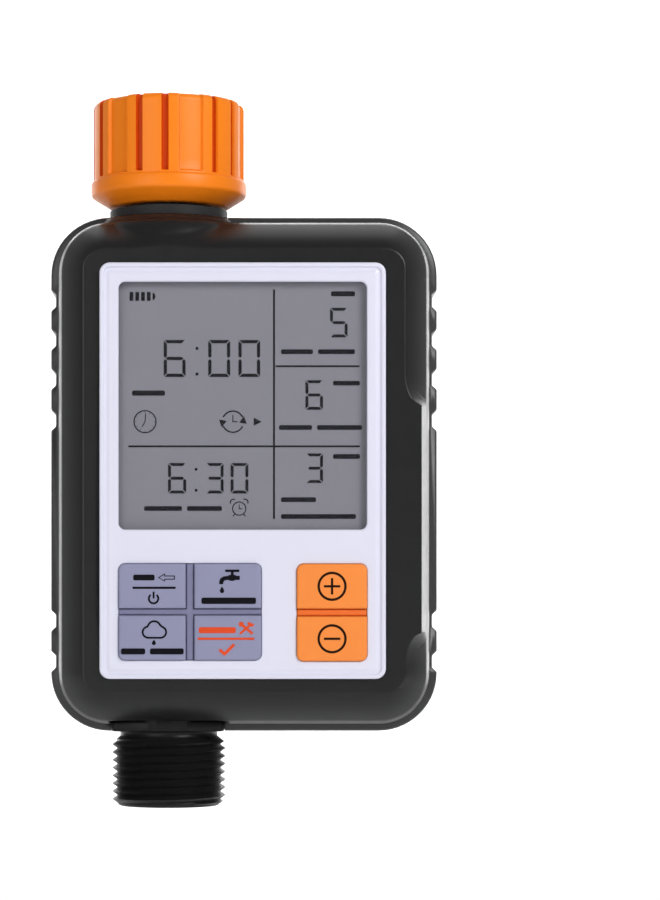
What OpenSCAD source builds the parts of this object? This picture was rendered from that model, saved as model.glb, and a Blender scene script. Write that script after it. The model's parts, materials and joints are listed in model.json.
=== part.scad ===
// Single-outlet hose-tap irrigation controller with a motor-driven ball valve.
// The pipe axis is the Z axis and the origin is on it, at the inlet washer's upper face.
// X runs to the right seen from the display side, -Y is the display side, Z is up.

/* [Housing] */
// Width of the housing across its side edges
body_w = 89.2; // [88.8:0.1:90]
// Height of the housing
body_h = 118.54; // [118.2:0.02:119]
// Corner radius of the housing seen from the front
body_r = 13.5; // [13:0.1:14]
// Distance from the pipe axis to the left edge of the housing
pipe_to_left = 27.1; // [26.8:0.1:27.4]
// Height of the housing's top edge, measured from the washer face
body_top = -12.93; // [-13.1:0.01:-12.8]
// Wall thickness of both covers
wall = 2.2; // [2:0.1:2.4]
// Depth of the side grip notches
grip_depth = 0.85; // [0.6:0.05:1.2]

/* [Display and keys] */
// Width of the display window
lcd_w = 55.9; // [50:0.1:57]
// Height of the display window
lcd_h = 55.8; // [50:0.1:57]
// Width of one grey key
key_w = 15.1; // [14:0.1:15.2]
// Height of one key
key_h = 10.1; // [9:0.1:10.15]
// Width of one orange key
adjust_w = 15.8; // [14:0.1:16]
// Height that the keys stand above the panel
key_proud = 0.8; // [0.4:0.1:1]

/* [Pipe] */
// Major radius of the G3/4 pipe thread
thread_major = 13.22; // [13.1:0.01:13.3]
// Minor radius of the G3/4 pipe thread
thread_minor = 12.06; // [12:0.01:12.1]
// Pitch of the G3/4 pipe thread
thread_pitch = 1.814; // [1.8:0.001:1.82]
// Outer radius of the swivel nut over its grips
nut_r = 17.45; // [17.2:0.05:17.8]
// Bore radius of the waterway
water_r = 7.5; // [7:0.1:7.5]

/* [Valve drive] */
// Gear module
gear_m = 0.5; // [0.5]
// Thickness taken off every tooth for backlash
backlash = 0.1; // [0.06:0.02:0.16]
// Radius of the valve ball
ball_r = 9; // [8.8:0.1:9]

/* [Hidden] */
$fn = 96;
eps = 0.01;
cx = body_w/2 - pipe_to_left;
cz = body_top - body_h/2;
x_left = cx - body_w/2;
x_right = cx + body_w/2;
z_bot = cz - body_h/2;
// depths, front to back
y_face = -20.6;      // flat front face of the front cover
y_rim = -12;         // where the shoulders start
y_part = -7;         // parting plane
y_back = 24;         // rear face
y_panel = -22;       // face of the white panel
y_lens = -21.3;      // face of the display window
y_seat = -19.8;      // back of the panel
y_board = -15.4;     // front of the control board
board_t = 1.6;
// insets of the front cover's outline
in_rim = 1.7;
in_face = 7.2;
in_cav_rim = 4.2;
in_cav_face = 8.6;
// key centres
lcd_c = [17.2, -57.6];
gx = 1.9;            // grooves between the grey keys
gz = 1.55;
gz_adj = 1.7;
k_c = [5.35, -104.05];
a_c = [37.3, -104.2];
k_pos = [[k_c[0] - (key_w + gx)/2, k_c[1] + (key_h + gz)/2],
         [k_c[0] + (key_w + gx)/2, k_c[1] + (key_h + gz)/2],
         [k_c[0] - (key_w + gx)/2, k_c[1] - (key_h + gz)/2],
         [k_c[0] + (key_w + gx)/2, k_c[1] - (key_h + gz)/2]];
a_pos = [[a_c[0], a_c[1] + (key_h + gz_adj)/2],
         [a_c[0], a_c[1] - (key_h + gz_adj)/2]];
post_r = 2.2;
// screws
case_xz = [[-17.6, -22.4], [52.6, -22.4], [-17.6, -122], [52.6, -122], [-19.28, -80.2], [54.28, -94]];
board_xz = [[-16.5, -29.5], [51, -29.5], [-16.5, -115], [51, -115]];
grips = [-32.2, -41.2, -50.3, -59.8, -106, -115.4];
// valve
ball_z = -97;
// gear train: centres in the plane across the stem, [y, z]
g_out = [0, ball_z];
g_b = [10.4, ball_z - 6];
g_a = [0, ball_z - 12];
g_mot = [7.5, ball_z - 22];
n_wheel = 36;
n_wheel_a = 40;
n_pinion = 12;
n_motor = 10;
// battery compartment
cell_x = [32, 48];
cell_y = 12.9;
cell_r = 7.2;
hinge_y = 23;
hinge_z = -84.2;

// ---------- shared shapes ----------
module rr(w, h, r) {
  union() {
    square([w - 2*r, h], center = true);
    square([w, h - 2*r], center = true);
    for (i = [-1, 1], j = [-1, 1]) translate([i*(w/2 - r), j*(h/2 - r)]) circle(r);
  }
}
// outline drawn in X and Z, carried from depth y0 back to y1
module slab(y0, y1) translate([0, y1, 0]) rotate([90, 0, 0]) linear_extrude(height = y1 - y0) children();
module outline(inset) translate([cx, cz]) rr(body_w - 2*inset, body_h - 2*inset, body_r - inset);
module box(x0, x1, y0, y1, z0, z1) translate([x0, y0, z0]) cube([x1 - x0, y1 - y0, z1 - z0]);
module ycyl(x, z, y0, y1, r) translate([x, y0, z]) rotate([-90, 0, 0]) cylinder(h = y1 - y0, r = r);
module xcyl(y, z, x0, x1, r) translate([x0, y, z]) rotate([0, 90, 0]) cylinder(h = x1 - x0, r = r);
module zcyl(z0, z1, r) translate([0, 0, z0]) cylinder(h = z1 - z0, r = r);
module zring(z0, z1, ro, ri) difference() { zcyl(z0, z1, ro); zcyl(z0 - 1, z1 + 1, ri); }
// frustum of the rounded outline, from inset i0 at depth y0 to inset i1 at depth y1
module taper(y0, i0, y1, i1) {
  a = body_w/2; b = body_h/2;
  union() {
    translate([0, 0, cz - (b - body_r)]) linear_extrude(height = 2*(b - body_r))
      polygon([[cx - a + i0, y0], [cx + a - i0, y0], [cx + a - i1, y1], [cx - a + i1, y1]]);
    translate([cx - (a - body_r), 0, 0]) rotate([90, 0, 90]) linear_extrude(height = 2*(a - body_r))
      polygon([[y0, cz - b + i0], [y0, cz + b - i0], [y1, cz + b - i1], [y1, cz - b + i1]]);
    for (i = [-1, 1], j = [-1, 1])
      translate([cx + i*(a - body_r), y0, cz + j*(b - body_r)]) rotate([y1 > y0 ? -90 : 90, 0, 0])
        cylinder(h = abs(y1 - y0), r1 = body_r - i0, r2 = body_r - i1);
  }
}
// material where a round pipe collar meets the parting plane: a U closed by the front cover
module u_block(r, z0, z1) union() { zcyl(z0, z1, r); box(-r, r, y_part, 0, z0, z1); }

// involute gear, 2D, tooth 0 centred on +X turned by phase
function inv(a) = tan(a)*180/PI - a;
function half_tooth(n, r) = let(rp = gear_m*n/2, rb = rp*cos(20), a = r > rb ? acos(rb/r) : 0)
  90/n + inv(20) - inv(a) - backlash/4/rp*180/PI;
function gear_pts(n, ra, rf, ph) = let(rb = gear_m*n/2*cos(20), r0 = max(rb, rf), k = 5)
  [for (t = [0:n - 1]) let(c = ph + t*360/n)
    each concat(
      [rf < rb ? [rf, c - half_tooth(n, r0)] : [rf, c - 180/n*0.98]],
      [for (i = [0:k]) let(r = r0 + (ra - r0)*i/k) [r, c - half_tooth(n, r)]],
      [for (i = [k:-1:0]) let(r = r0 + (ra - r0)*i/k) [r, c + half_tooth(n, r)]],
      [rf < rb ? [rf, c + half_tooth(n, r0)] : [rf, c + 180/n*0.98]])];
module gear2d(n, add, ph) {
  rp = gear_m*n/2;
  polygon([for (p = gear_pts(n, rp + add, rp - 0.55, ph)) [p[0]*cos(p[1]), p[0]*sin(p[1])]]);
}
// gear across the stem, centre c = [y, z], from x0 to x1
module xgear(n, add, ph, c, x0, x1) translate([x0, c[0], c[1]]) rotate([90, 0, 90])
  linear_extrude(height = x1 - x0) gear2d(n, add, ph);
// phase of the mate so that its gap faces the first gear's tooth
function dir(c1, c2) = atan2(c2[1] - c1[1], c2[0] - c1[0]);
function mate(c1, n1, p1, c2, n2) = let(t = dir(c1, c2)) t + 180 - 360/n2*(0.5 - (t - p1)*n1/360);
ph_o = 0;
ph_b1 = mate(g_out, n_wheel, ph_o, g_b, n_pinion);
ph_a1 = mate(g_b, n_wheel, 0, g_a, n_pinion);
ph_m = mate(g_a, n_wheel_a, 0, g_mot, n_motor);
add_w = 0.32;
add_p = 0.42;

// ---------- housing ----------
module front_shell() difference() {
  union() {
    slab(y_rim, y_part) outline(in_rim);
    taper(y_rim, in_rim, y_face, in_face);
    slab(y_part - eps, y_part + 2.5) outline(2.6);
    // shoulders around the two pipe collars
    intersection() {
      translate([0, 0, body_top - in_rim - 5.5]) cylinder(h = 5.5, r1 = 21.1, r2 = 17.8);
      box(-30, 30, y_face, 0, body_top - 10, body_top);
    }
    zcyl(z_bot + 2.8, z_bot + 8, 14.6);
    // raised flat on the right-hand side, with slanted ends
    intersection() {
      translate([0, 0, -115]) linear_extrude(height = 64)
        polygon([[50, y_rim], [x_right - in_rim, y_rim], [58.3, y_face], [50, y_face]]);
      slab(y_face - 1, y_rim + 1) polygon([[49, -52.6], [54.5, -52.6], [61.5, -57.8], [61.5, -108.8], [54.5, -113.8], [49, -113.8]]);
    }
  }
  // inside
  slab(y_rim + 0.25, y_part + 3) outline(in_cav_rim);
  taper(y_rim + 0.25 + eps, in_cav_rim, y_seat + wall, in_cav_face);
  // everything behind the parting plane except the tongue
  difference() {
    box(-40, 80, y_part, 20, z_bot - 5, 0);
    slab(y_part - 1, y_part + 2.5) outline(2.6);
  }
  // seat for the panel, and the openings for the display and the two mats
  slab(y_face - 5, y_seat) translate([17.2, -72.25]) rr(64.8, 94.1, 2.5);
  slab(y_seat - 1, -10) translate([17.2, -57.6]) square([62.2, 62.8], center = true);
  slab(y_seat - 1, -10) translate([k_c[0], k_c[1]]) rr(35.1, 24.8, 1.5);
  slab(y_seat - 1, -10) translate([a_c[0], a_c[1]]) rr(18.8, 25, 1.5);
  // notches for the collars
  zcyl(-30, 0, 13.9);
  zcyl(z_bot - 2, z_bot + 12, 13.2);
  box(-13.9, 13.9, y_part, 3, -20, -10);
  box(-13.2, 13.2, y_part, 3, z_bot - 1, z_bot + 6);
  box(-12.85, 12.85, -25, y_part + 1, z_bot - 1, z_bot + 2.6);
}
// the screw columns inside the front cover
module front_cover() color([0.19, 0.19, 0.2]) difference() {
  union() {
    front_shell();
    for (p = case_xz) ycyl(p[0], p[1], abs(p[0] - cx) > 36 ? -13.5 : -17.3, -4.2, 2.8);
    box(x_left + 3.5, -21, -13.5, -5, -81.2, -79.2);
    box(56, x_right - 3.5, -13.5, -5, -95, -93);
    for (p = board_xz) ycyl(p[0], p[1], y_seat + wall - 0.4, y_board, 2);
  }
  for (p = case_xz) ycyl(p[0], p[1], -12.2, 0, 1.35);
  for (p = board_xz) ycyl(p[0], p[1], y_seat + 0.6, 0, 1);
}
module grip_cut(z, side) translate([side > 0 ? x_right : x_left, y_part - 1, z]) rotate([-90, 0, 0])
  linear_extrude(height = 23)
    polygon([[side*0.5, 2.7], [-side*grip_depth, 1.1], [-side*grip_depth, -1.1], [side*0.5, -2.7]]);
module rear_cover() color([0.22, 0.22, 0.23]) difference() {
  union() {
    difference() {
      union() {
        slab(y_part, 21.5) outline(0);
        taper(21.5, 0, y_back, 2.5);
      }
      slab(-1.5, y_back - wall) outline(wall);
      slab(y_part - 1, -3.5) outline(2.4);
      slab(y_part - 1, 5) outline(4.3);
    }
    // columns for the case screws
    for (p = case_xz) ycyl(p[0], p[1], -4, y_back - 1, 3.6);
    // battery compartment and the thick edge that holds the hinge
    box(21.7, 58.3, 3.5, y_back - 1, -83.5, -25.5);
    box(23, 53, 19.4, y_back - 1, -87.4, -83);
    // boss for the door screw
    ycyl(40, -22.8, 13, y_back - 1, 3.5);
  }
  for (p = case_xz) { ycyl(p[0], p[1], -1.5, y_back + 1, 2.45); ycyl(p[0], p[1], -5, 0, 1.5); }
  box(23.5, 56.5, 5.3, y_back + 1, -81.7, -27.3);
  box(21.7, 58.3, 21.4, y_back + 1, -83.5, -25.5);
  slab(20.8, 22) translate([40, -54.5]) difference() { square([35.6, 57], center = true); square([33.6, 55], center = true); }
  // hinge slots and pin hole
  for (x = [25.3, 44.3]) { box(x, x + 7.9, 21.8, y_back + 1, -85.5, -83); }
  xcyl(hinge_y, hinge_z, 23.4, 53.6 - 1.1, 0.52);
  // tab seat and hole of the door screw
  box(34.8, 45.2, 21.4, y_back + 1, -26.5, -19);
  ycyl(40, -22.8, 16, 22, 2.3);
  // slots for the collars
  u_cut(13.75, body_top - 8, body_top + 1);
  u_cut(13.08, z_bot - 1, z_bot + 6);
  for (z = grips, s = [-1, 1]) grip_cut(z, s);
  // lead holes from the battery compartment
  xcyl(9, -80, 20, 24, 1);
  xcyl(9, -76, 20, 24, 1);
}
module u_cut(r, z0, z1) union() { zcyl(z0, z1, r); box(-r, r, y_part - 1, 0, z0, z1); }
module case_gasket() color([0.1, 0.1, 0.1]) difference() {
  slab(-4.45, -3.5) outline(2.65);
  slab(-6, -3) outline(4.15);
  box(-14, 14, -8, 2, -30, 0);
  box(-13.3, 13.3, -8, 2, z_bot - 1, z_bot + 10);
}
module fascia_panel() color([0.9, 0.9, 0.96]) difference() {
  slab(y_panel, y_seat) translate([17.2, -72.25]) rr(64.6, 93.9, 2.4);
  slab(y_panel - 1, -18) translate([lcd_c[0], lcd_c[1]]) rr(lcd_w, lcd_h, 1.4);
  slab(y_lens, -18) translate([lcd_c[0], lcd_c[1]]) rr(lcd_w + 2, lcd_h + 2, 1.4);
  slab(y_panel - 1, -18) translate([k_c[0], k_c[1]]) rr(2*key_w + gx + 0.4, 2*key_h + gz + 0.4, 1.6);
  slab(y_panel - 1, -18) translate([a_c[0], a_c[1]]) rr(adjust_w + 0.4, 2*key_h + gz_adj + 0.4, 1.7);
}
module lcd_window() color([0.75, 0.76, 0.8]) slab(y_lens, y_seat) translate([lcd_c[0], lcd_c[1]]) rr(lcd_w + 1.8, lcd_h + 1.8, 1.3);
module lcd_glass() color([0.53, 0.53, 0.56]) slab(-19.7, -17.3) translate([17.2, -57.6]) square([59.6, 60], center = true);
module lcd_frame() color([0.15, 0.15, 0.16]) difference() {
  slab(-19.6, y_board) translate([17.2, -57.6]) square([61.6, 62], center = true);
  slab(-20, -17.3) translate([17.2, -57.6]) square([59.7, 60.1], center = true);
  slab(-18, -15) translate([17.2, -54.4]) square([50, 48], center = true);
  box(-9, 43.4, -18, -15, -87.4, -85);
}
module lcd_contact_strip() color([0.85, 0.6, 0.65]) box(-8.8, 43.2, -17.3, y_board, -87.2, -85.2);
module mat(c, w, h, gap_x, gap_z, n) difference() {
  union() {
    slab(-17.5, -17.1) translate(c) rr(w + 4.6, h + 4.6, 2);
    slab(-19.6, -17.3) translate(c) rr(w + 2.7, h + 2.7, 1.4);
    slab(-21.2, -19.5) translate(c) rr(w, h, 1.4);
  }
  for (i = n == 4 ? [-1, 1] : [0], j = [-1, 1])
    slab(-22, -19.6) translate([c[0] + i*(w + gap_x)/4, c[1] + j*(h + gap_z)/4])
      rr((n == 4 ? (w - gap_x)/2 : w) + 0.24, (h - gap_z)/2 + 0.24, 0.6);
}
module keypad_mat() color([0.5, 0.5, 0.61]) difference() {
  mat(k_c, 2*key_w + gx, 2*key_h + gz, gx, gz, 4);
  for (p = k_pos) ycyl(p[0], p[1], -22, -16, post_r + 0.15);
}
module adjust_key_mat() color([0.9, 0.46, 0.2]) difference() {
  mat(a_c, adjust_w, 2*key_h + gz_adj, 0, gz_adj, 2);
  for (p = a_pos) ycyl(p[0], p[1], -22, -16, post_r + 0.15);
}
module key(p, w, h, r) union() {
  slab(y_panel - key_proud, -20.4) translate([p[0], p[1]]) rr(w, h, r);
  ycyl(p[0], p[1], -20.5, -17.8, post_r);
}
module back_key() color([0.63, 0.63, 0.74]) key(k_pos[0], key_w, key_h, 1.4);
module manual_key() color([0.63, 0.63, 0.74]) key(k_pos[1], key_w, key_h, 1.4);
module rain_delay_key() color([0.63, 0.63, 0.74]) key(k_pos[2], key_w, key_h, 1.4);
module setup_key() color([0.63, 0.63, 0.74]) key(k_pos[3], key_w, key_h, 1.4);
module plus_key() color([0.98, 0.58, 0.29]) key(a_pos[0], adjust_w, key_h, 1.5);
module minus_key() color([0.98, 0.58, 0.29]) key(a_pos[1], adjust_w, key_h, 1.5);

// ---------- electronics ----------
module control_board() color([0.1, 0.35, 0.2]) difference() {
  slab(y_board, y_board + board_t) translate([17.25, -72.25]) square([73.5, 92.5], center = true);
  for (p = board_xz) ycyl(p[0], p[1], -17, -12, 1.1);
}
module tact_switches() color([0.12, 0.12, 0.13]) for (p = concat(k_pos, a_pos)) union() {
  slab(y_board - 0.9, y_board) translate([p[0], p[1]]) square([6, 6], center = true);
  ycyl(p[0], p[1], y_board - 1.5, y_board - 0.8, 1.6);
}
module microcontroller() color([0.08, 0.08, 0.08]) slab(-13.8, -12.4) translate([42, -102]) square([10, 10], center = true);
module buffer_capacitor() color([0.15, 0.2, 0.4]) ycyl(22, -30, -13.8, -5, 3.2);
module lead_connectors() color([0.92, 0.9, 0.85]) for (z = [-92, -84]) slab(-13.8, -8) translate([42, z]) square([7.5, 4.6], center = true);
module pan_screw(x, z, y0, hr, hh, sr, len) union() { ycyl(x, z, y0, y0 + hh, hr); ycyl(x, z, y0 - len, y0 + 0.1, sr); }
module board_screws() color([0.7, 0.7, 0.72]) for (p = board_xz) difference() {
  pan_screw(p[0], p[1], -13.8, 1.9, 1.1, 0.95, 4.6);
  slab(-13.2, -12) translate([p[0], p[1]]) { square([2.4, 0.5], center = true); square([0.5, 2.4], center = true); }
}
module case_screws() color([0.7, 0.7, 0.72]) for (p = case_xz) difference() {
  pan_screw(p[0], p[1], -1.5, 2.3, 1.8, 1.3, 10.4);
  slab(-0.5, 1) translate([p[0], p[1]]) { square([3, 0.6], center = true); square([0.6, 3], center = true); }
}

// ---------- inlet ----------
module nut_outline() difference() {
  circle(nut_r);
  for (k = [0:5]) rotate(k*60 - 71.4) {
    difference() {
      polygon([[0, 0], [30*cos(9.2), -30*sin(9.2)], [30*cos(9.2), 30*sin(9.2)]]);
      circle(nut_r - 0.85);
    }
    for (a = [20, 40]) rotate(a) translate([nut_r + 0.05, 0]) circle(0.85, $fn = 24);
  }
}
module inlet_nut() color([0.97, 0.53, 0.23]) difference() {
  union() {
    translate([0, 0, -4.3]) linear_extrude(height = 17) nut_outline();
    rotate_extrude() polygon([[10, 12.7], [nut_r, 12.7], [nut_r, 12.8], [nut_r - 1.2, 14], [10, 14]]);
    rotate_extrude() polygon([[9, -10.15], [13.9, -10.15], [nut_r + 0.6, -7.2], [nut_r + 0.6, -4.2], [9, -4.2]]);
  }
  // thread, cavity for the tailpiece's flange, and the lip's bore
  rotate_extrude() polygon(concat(
    [[0, -11], [10.4, -11], [10.4, -5], [12.45, -5], [12.45, -0.3], [thread_minor, 0]],
    [for (k = [0:6]) let(z = 0.15 + k*thread_pitch)
      each [[thread_minor, z + 0.15], [thread_major, z + 0.75], [thread_major, z + 1.064], [thread_minor, z + 1.664]]],
    [[thread_minor, 13.2], [thread_major, 14.01], [0, 14.01]]));
}
module inlet_washer() color([0.1, 0.1, 0.1]) zring(-2, 0, 11.85, 8.9);
module inlet_filter() color([0.9, 0.9, 0.92]) difference() {
  union() { zcyl(-3.5, -2, 8.75); zcyl(-22, -3.4, 6.9); }
  zcyl(-20.8, 1, 6);
  for (k = [0:3]) rotate(k*45) box(-8, 8, -1.5, 1.5, -19, -12.5);
  for (k = [0:3]) rotate(k*45) box(-8, 8, -1.5, 1.5, -11, -5);
}
module oval(r) union() { circle(12.6); square([30, 2*r], center = true); for (s = [-1, 1]) translate([s*15, 0]) circle(r); }
module inlet_tailpiece() color([0.21, 0.21, 0.22]) difference() {
  union() {
    zcyl(-4.8, -2, 11.9);
    zcyl(-12, -4.7, 10.32);
    zcyl(-19, -11, 13.67);
    u_block(13.67, body_top - 3.4, body_top - 0.15);
    intersection() { zcyl(-19.6, -17.3, 15); box(-20, 20, -10.8, 20, -25, -10); }
    zcyl(-62.5, -18, 10.8);
    translate([0, 0, -66]) linear_extrude(height = 4) oval(4.4);
    zcyl(ball_z + 8.6, -65, 9.5);
  }
  zcyl(-90, 0, water_r);
  zcyl(-3.5, 0, 8.9);
  rotate_extrude() translate([8.15, -80.7]) square([2, 1.4]);
  for (s = [-1, 1]) translate([s*15, 0, -70]) cylinder(h = 20, r = 1.6, $fn = 32);
}
module valve_joint_seal() color([0.1, 0.1, 0.1]) rotate_extrude() translate([8.85, -80]) circle(0.65, $fn = 24);
module valve_screws() color([0.7, 0.7, 0.72]) for (s = [-1, 1]) translate([s*15, 0, 0]) difference() {
  union() { zcyl(-62, -60, 2.6); zcyl(-74, -61.9, 1.45); }
  translate([0, 0, -60.5]) { cube([3.2, 0.6, 2], center = true); cube([0.6, 3.2, 2], center = true); }
}

// ---------- valve ----------
module valve_body() color([0.09, 0.09, 0.09]) difference() {
  union() {
    translate([0, 0, -70]) linear_extrude(height = 3.98) oval(4.4);
    for (s = [-1, 1]) translate([s*15, 0, -76]) cylinder(h = 7, r = 3.4);
    for (s = [-1, 1]) box(s > 0 ? 8 : -15, s > 0 ? 15 : -8, -2, 2, -76, -69);
    zcyl(ball_z - 13, -67, 12.4);
    zcyl(-129, ball_z - 12, 12);
    // port for the stem
    xcyl(0, ball_z, 6, 17.5, 9.4);
    // collar in the covers, and the outlet
    zcyl(z_bot - 0.05, z_bot + 6, 13);
    u_block(13, z_bot + 0.15, z_bot + 3.4);
    box(-12.7, 12.7, -12.3, 0, z_bot + 0.15, z_bot + 2.45);
    intersection() { zcyl(z_bot + 4.45, z_bot + 6.7, 15.2); box(-20, 20, -10.4, 20, -135, -120); }
    rotate_extrude() polygon(concat(
      [[5, z_bot + 1], [11.3, z_bot + 1], [11.3, -132.8], [thread_minor, -133.1]],
      [for (k = [0:8]) let(z = -133.95 - k*thread_pitch)
        each [[thread_minor, z + 0.75], [thread_major, z + 0.15], [thread_major, z - 0.15], [thread_minor, k < 8 ? z - 0.75 : z - 0.45]]],
      [[thread_minor - 0.25, -148.9], [5, -148.9]]));
  }
  zcyl(ball_z - 8.6, 0, 9.6);
  zcyl(-160, -50, water_r);
  for (s = [-1, 1]) translate([s*15, 0, -77]) cylinder(h = 20, r = 1.5, $fn = 32);
  xcyl(0, ball_z, 5, 20, 3.58);
  xcyl(0, ball_z, 14.2, 20, 5.5);
  for (s = [-1, 1]) xcyl(0, ball_z + s*7.4, 13, 20, 0.95);
}
module valve_ball() color([0.92, 0.92, 0.9]) difference() {
  translate([0, 0, ball_z]) sphere(ball_r);
  translate([0, 0, ball_z]) rotate([90, 0, 0]) cylinder(h = 40, r = 5.8, center = true);
  box(6.6, 12, -2.1, 2.1, ball_z - 3.6, ball_z + 3.6);
}
module seat(s) difference() {
  translate([0, 0, s > 0 ? ball_z + 5.8 : ball_z - 8.6]) cylinder(h = 2.8, r = 9.5);
  translate([0, 0, ball_z]) sphere(ball_r + 0.05);
  zcyl(-110, -80, 6.2);
}
module ball_seats() color([0.93, 0.93, 0.9]) for (s = [-1, 1]) seat(s);
module valve_stem() color([0.85, 0.85, 0.82]) difference() {
  union() {
    box(6.7, 8.7, -2, 2, ball_z - 3.5, ball_z + 3.5);
    xcyl(0, ball_z, 8.6, 17.2, 3.5);
    xcyl(0, ball_z, 17, 24, 2.6);
  }
  for (x = [10.6, 12.8]) translate([x, 0, ball_z]) rotate([0, 90, 0]) rotate_extrude() translate([2.2, -0.7]) square([2, 1.4]);
  box(19.5, 25, 2, 4, ball_z - 4, ball_z + 4);
}
module stem_seals() color([0.12, 0.12, 0.12]) for (x = [10.6, 12.8])
  translate([x, 0, ball_z]) rotate([0, 90, 0]) rotate_extrude() translate([2.87, 0]) circle(0.66, $fn = 24);
module stem_gland() color([0.75, 0.75, 0.72]) difference() {
  xcyl(0, ball_z, 14.25, 17.5, 5.45);
  xcyl(0, ball_z, 10, 20, 3.58);
}

// ---------- drive ----------
module output_gear() color([0.95, 0.95, 0.93]) difference() {
  xgear(n_wheel, add_w, ph_o, g_out, 20.2, 23.5);
  difference() { xcyl(0, ball_z, 15, 30, 2.6); box(15, 30, 2, 4, ball_z - 4, ball_z + 4); }
}
module compound_gear_b() color([0.95, 0.95, 0.93]) difference() {
  union() {
    xgear(n_pinion, add_p, ph_b1, g_b, 20, 24.4);
    xgear(n_wheel, add_w, 0, g_b, 24.3, 26.3);
    xcyl(g_b[0], g_b[1], 26.2, 30, 1.5);
  }
  xcyl(g_b[0], g_b[1], 15, 35, 1.06);
}
module compound_gear_a() color([0.95, 0.95, 0.93]) difference() {
  union() {
    xcyl(g_a[0], g_a[1], 20, 24.1, 2);
    xgear(n_pinion, add_p, ph_a1, g_a, 24, 27.4);
    xgear(n_wheel_a, add_w, 0, g_a, 27.3, 29.3);
  }
  xcyl(g_a[0], g_a[1], 15, 35, 1.06);
}
module gear_pins() color([0.75, 0.75, 0.77]) for (c = [g_a, g_b]) xcyl(c[0], c[1], 18, 31.8, 1);
module motor_pinion() color([0.8, 0.7, 0.4]) union() {
  xgear(n_motor, add_p, ph_m, g_mot, 27, 30);
  xcyl(g_mot[0], g_mot[1], 26.6, 36, 0.95);
}
module gear_motor() color([0.72, 0.72, 0.74]) difference() {
  union() {
    intersection() {
      xcyl(g_mot[0], g_mot[1], 32.6, 47.8, 6);
      box(30, 60, -10, 30, g_mot[1] - 5, g_mot[1] + 5);
    }
    xcyl(g_mot[0], g_mot[1], 31.2, 33, 2.2);
    for (s = [-1, 1]) box(47.7, 48.8, g_mot[0] + s*3.5 - 1, g_mot[0] + s*3.5 + 1, g_mot[1] - 0.25, g_mot[1] + 0.25);
  }
  xcyl(g_mot[0], g_mot[1], 20, 37, 1.02);
}
// outline of the gearbox, in Y and Z: a wide part over the motor side and a narrower head round the output gear
module box_outline(inset, r) union() {
  translate([4.5, ball_z - 12.1]) rr(33.8 - 2*inset, 35.8 - 2*inset, r);
  translate([0, ball_z + 3]) rr(24.8 - 2*inset, 15.6 - 2*inset, r);
}
gb_screws = [[-10, ball_z + 8.4], [19.2, ball_z + 3.6], [-10.2, ball_z - 27.8], [19.2, ball_z - 27.8]];
module gearbox_base() color([0.3, 0.3, 0.32]) difference() {
  union() {
    difference() {
      translate([17.5, 0, 0]) rotate([90, 0, 90]) linear_extrude(height = 12.9) box_outline(0, 2.4);
      translate([19.5, 0, 0]) rotate([90, 0, 90]) linear_extrude(height = 20) box_outline(1.2, 1.2);
    }
    for (p = gb_screws) xcyl(p[0], p[1], 18, 30.4, 1.9);
  }
  xcyl(0, ball_z, 10, 25, 3);
  for (c = [g_a, g_b]) xcyl(c[0], c[1], 18, 25, 1);
  for (p = gb_screws) xcyl(p[0], p[1], 22, 35, 0.8);
  for (s = [-1, 1]) { xcyl(0, ball_z + s*7.4, 10, 20, 1.1); xcyl(0, ball_z + s*7.4, 18.6, 20, 2); }
}
module gearbox_cover() color([0.3, 0.3, 0.32]) difference() {
  translate([30.4, 0, 0]) rotate([90, 0, 90]) linear_extrude(height = 2.1) box_outline(0, 2.4);
  xcyl(g_mot[0], g_mot[1], 20, 40, 2.22);
  for (c = [g_a, g_b]) xcyl(c[0], c[1], 25, 31.8, 1);
  for (p = gb_screws) xcyl(p[0], p[1], 25, 40, 1.1);
}
module gearbox_screws() color([0.7, 0.7, 0.72]) union() {
  for (p = gb_screws) difference() {
    union() { xcyl(p[0], p[1], 32.5, 33.6, 1.7); xcyl(p[0], p[1], 24, 32.6, 0.78); }
    translate([33.4, p[0], p[1]]) cube([1, 2.2, 0.45], center = true);
  }
  for (s = [-1, 1]) difference() {
    union() { xcyl(0, ball_z + s*7.4, 18.6, 19.6, 1.9); xcyl(0, ball_z + s*7.4, 13.6, 18.7, 0.9); }
    translate([19.4, 0, ball_z + s*7.4]) cube([1, 2.2, 0.45], center = true);
  }
}
// a wire that runs along straight stretches with round elbows
module wire(p, r) union() {
  for (i = [0:len(p) - 2]) let(d = p[i + 1] - p[i], l = norm(d))
    translate(p[i]) rotate([0, acos(d[2]/l), atan2(d[1], d[0])]) cylinder(h = l, r = r, $fn = 24);
  for (i = [1:len(p) - 2]) translate(p[i]) rotate([20, 30, 40]) sphere(r*1.2, $fn = 24);
}
module motor_leads() color([0.75, 0.1, 0.1]) {
  wire([[48.8, 4, g_mot[1]], [49.5, 4, g_mot[1]], [49.9, -4, -113], [44, -4, -92.5], [44, -8, -92.5]], 0.55);
  wire([[48.8, 11, g_mot[1]], [49.5, 11, g_mot[1]], [49.9, 9, -112], [51, -6.4, -106], [40, -6.4, -92.5], [40, -8, -92.5]], 0.55);
}
module battery_leads() color([0.12, 0.12, 0.14]) {
  wire([[23.3, 9, -80], [20.4, 9, -80], [20.4, -2.6, -82], [40, -2.6, -84], [40, -8, -84]], 0.55);
  wire([[23.3, 9, -76], [20.4, 9, -76], [20.4, -5, -79], [44, -5, -84], [44, -8, -84]], 0.55);
}

// ---------- battery ----------
module cell(x, up) translate([x, cell_y, 0]) union() {
  zcyl(up ? -78.7 : -79.5, up ? -29.5 : -30.3, cell_r);
  zcyl(up ? -29.6 : -80.8, up ? -28.2 : -79.4, 2.7);
}
module battery_cells() color([0.2, 0.35, 0.3]) { cell(cell_x[0], true); cell(cell_x[1], false); }
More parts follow.
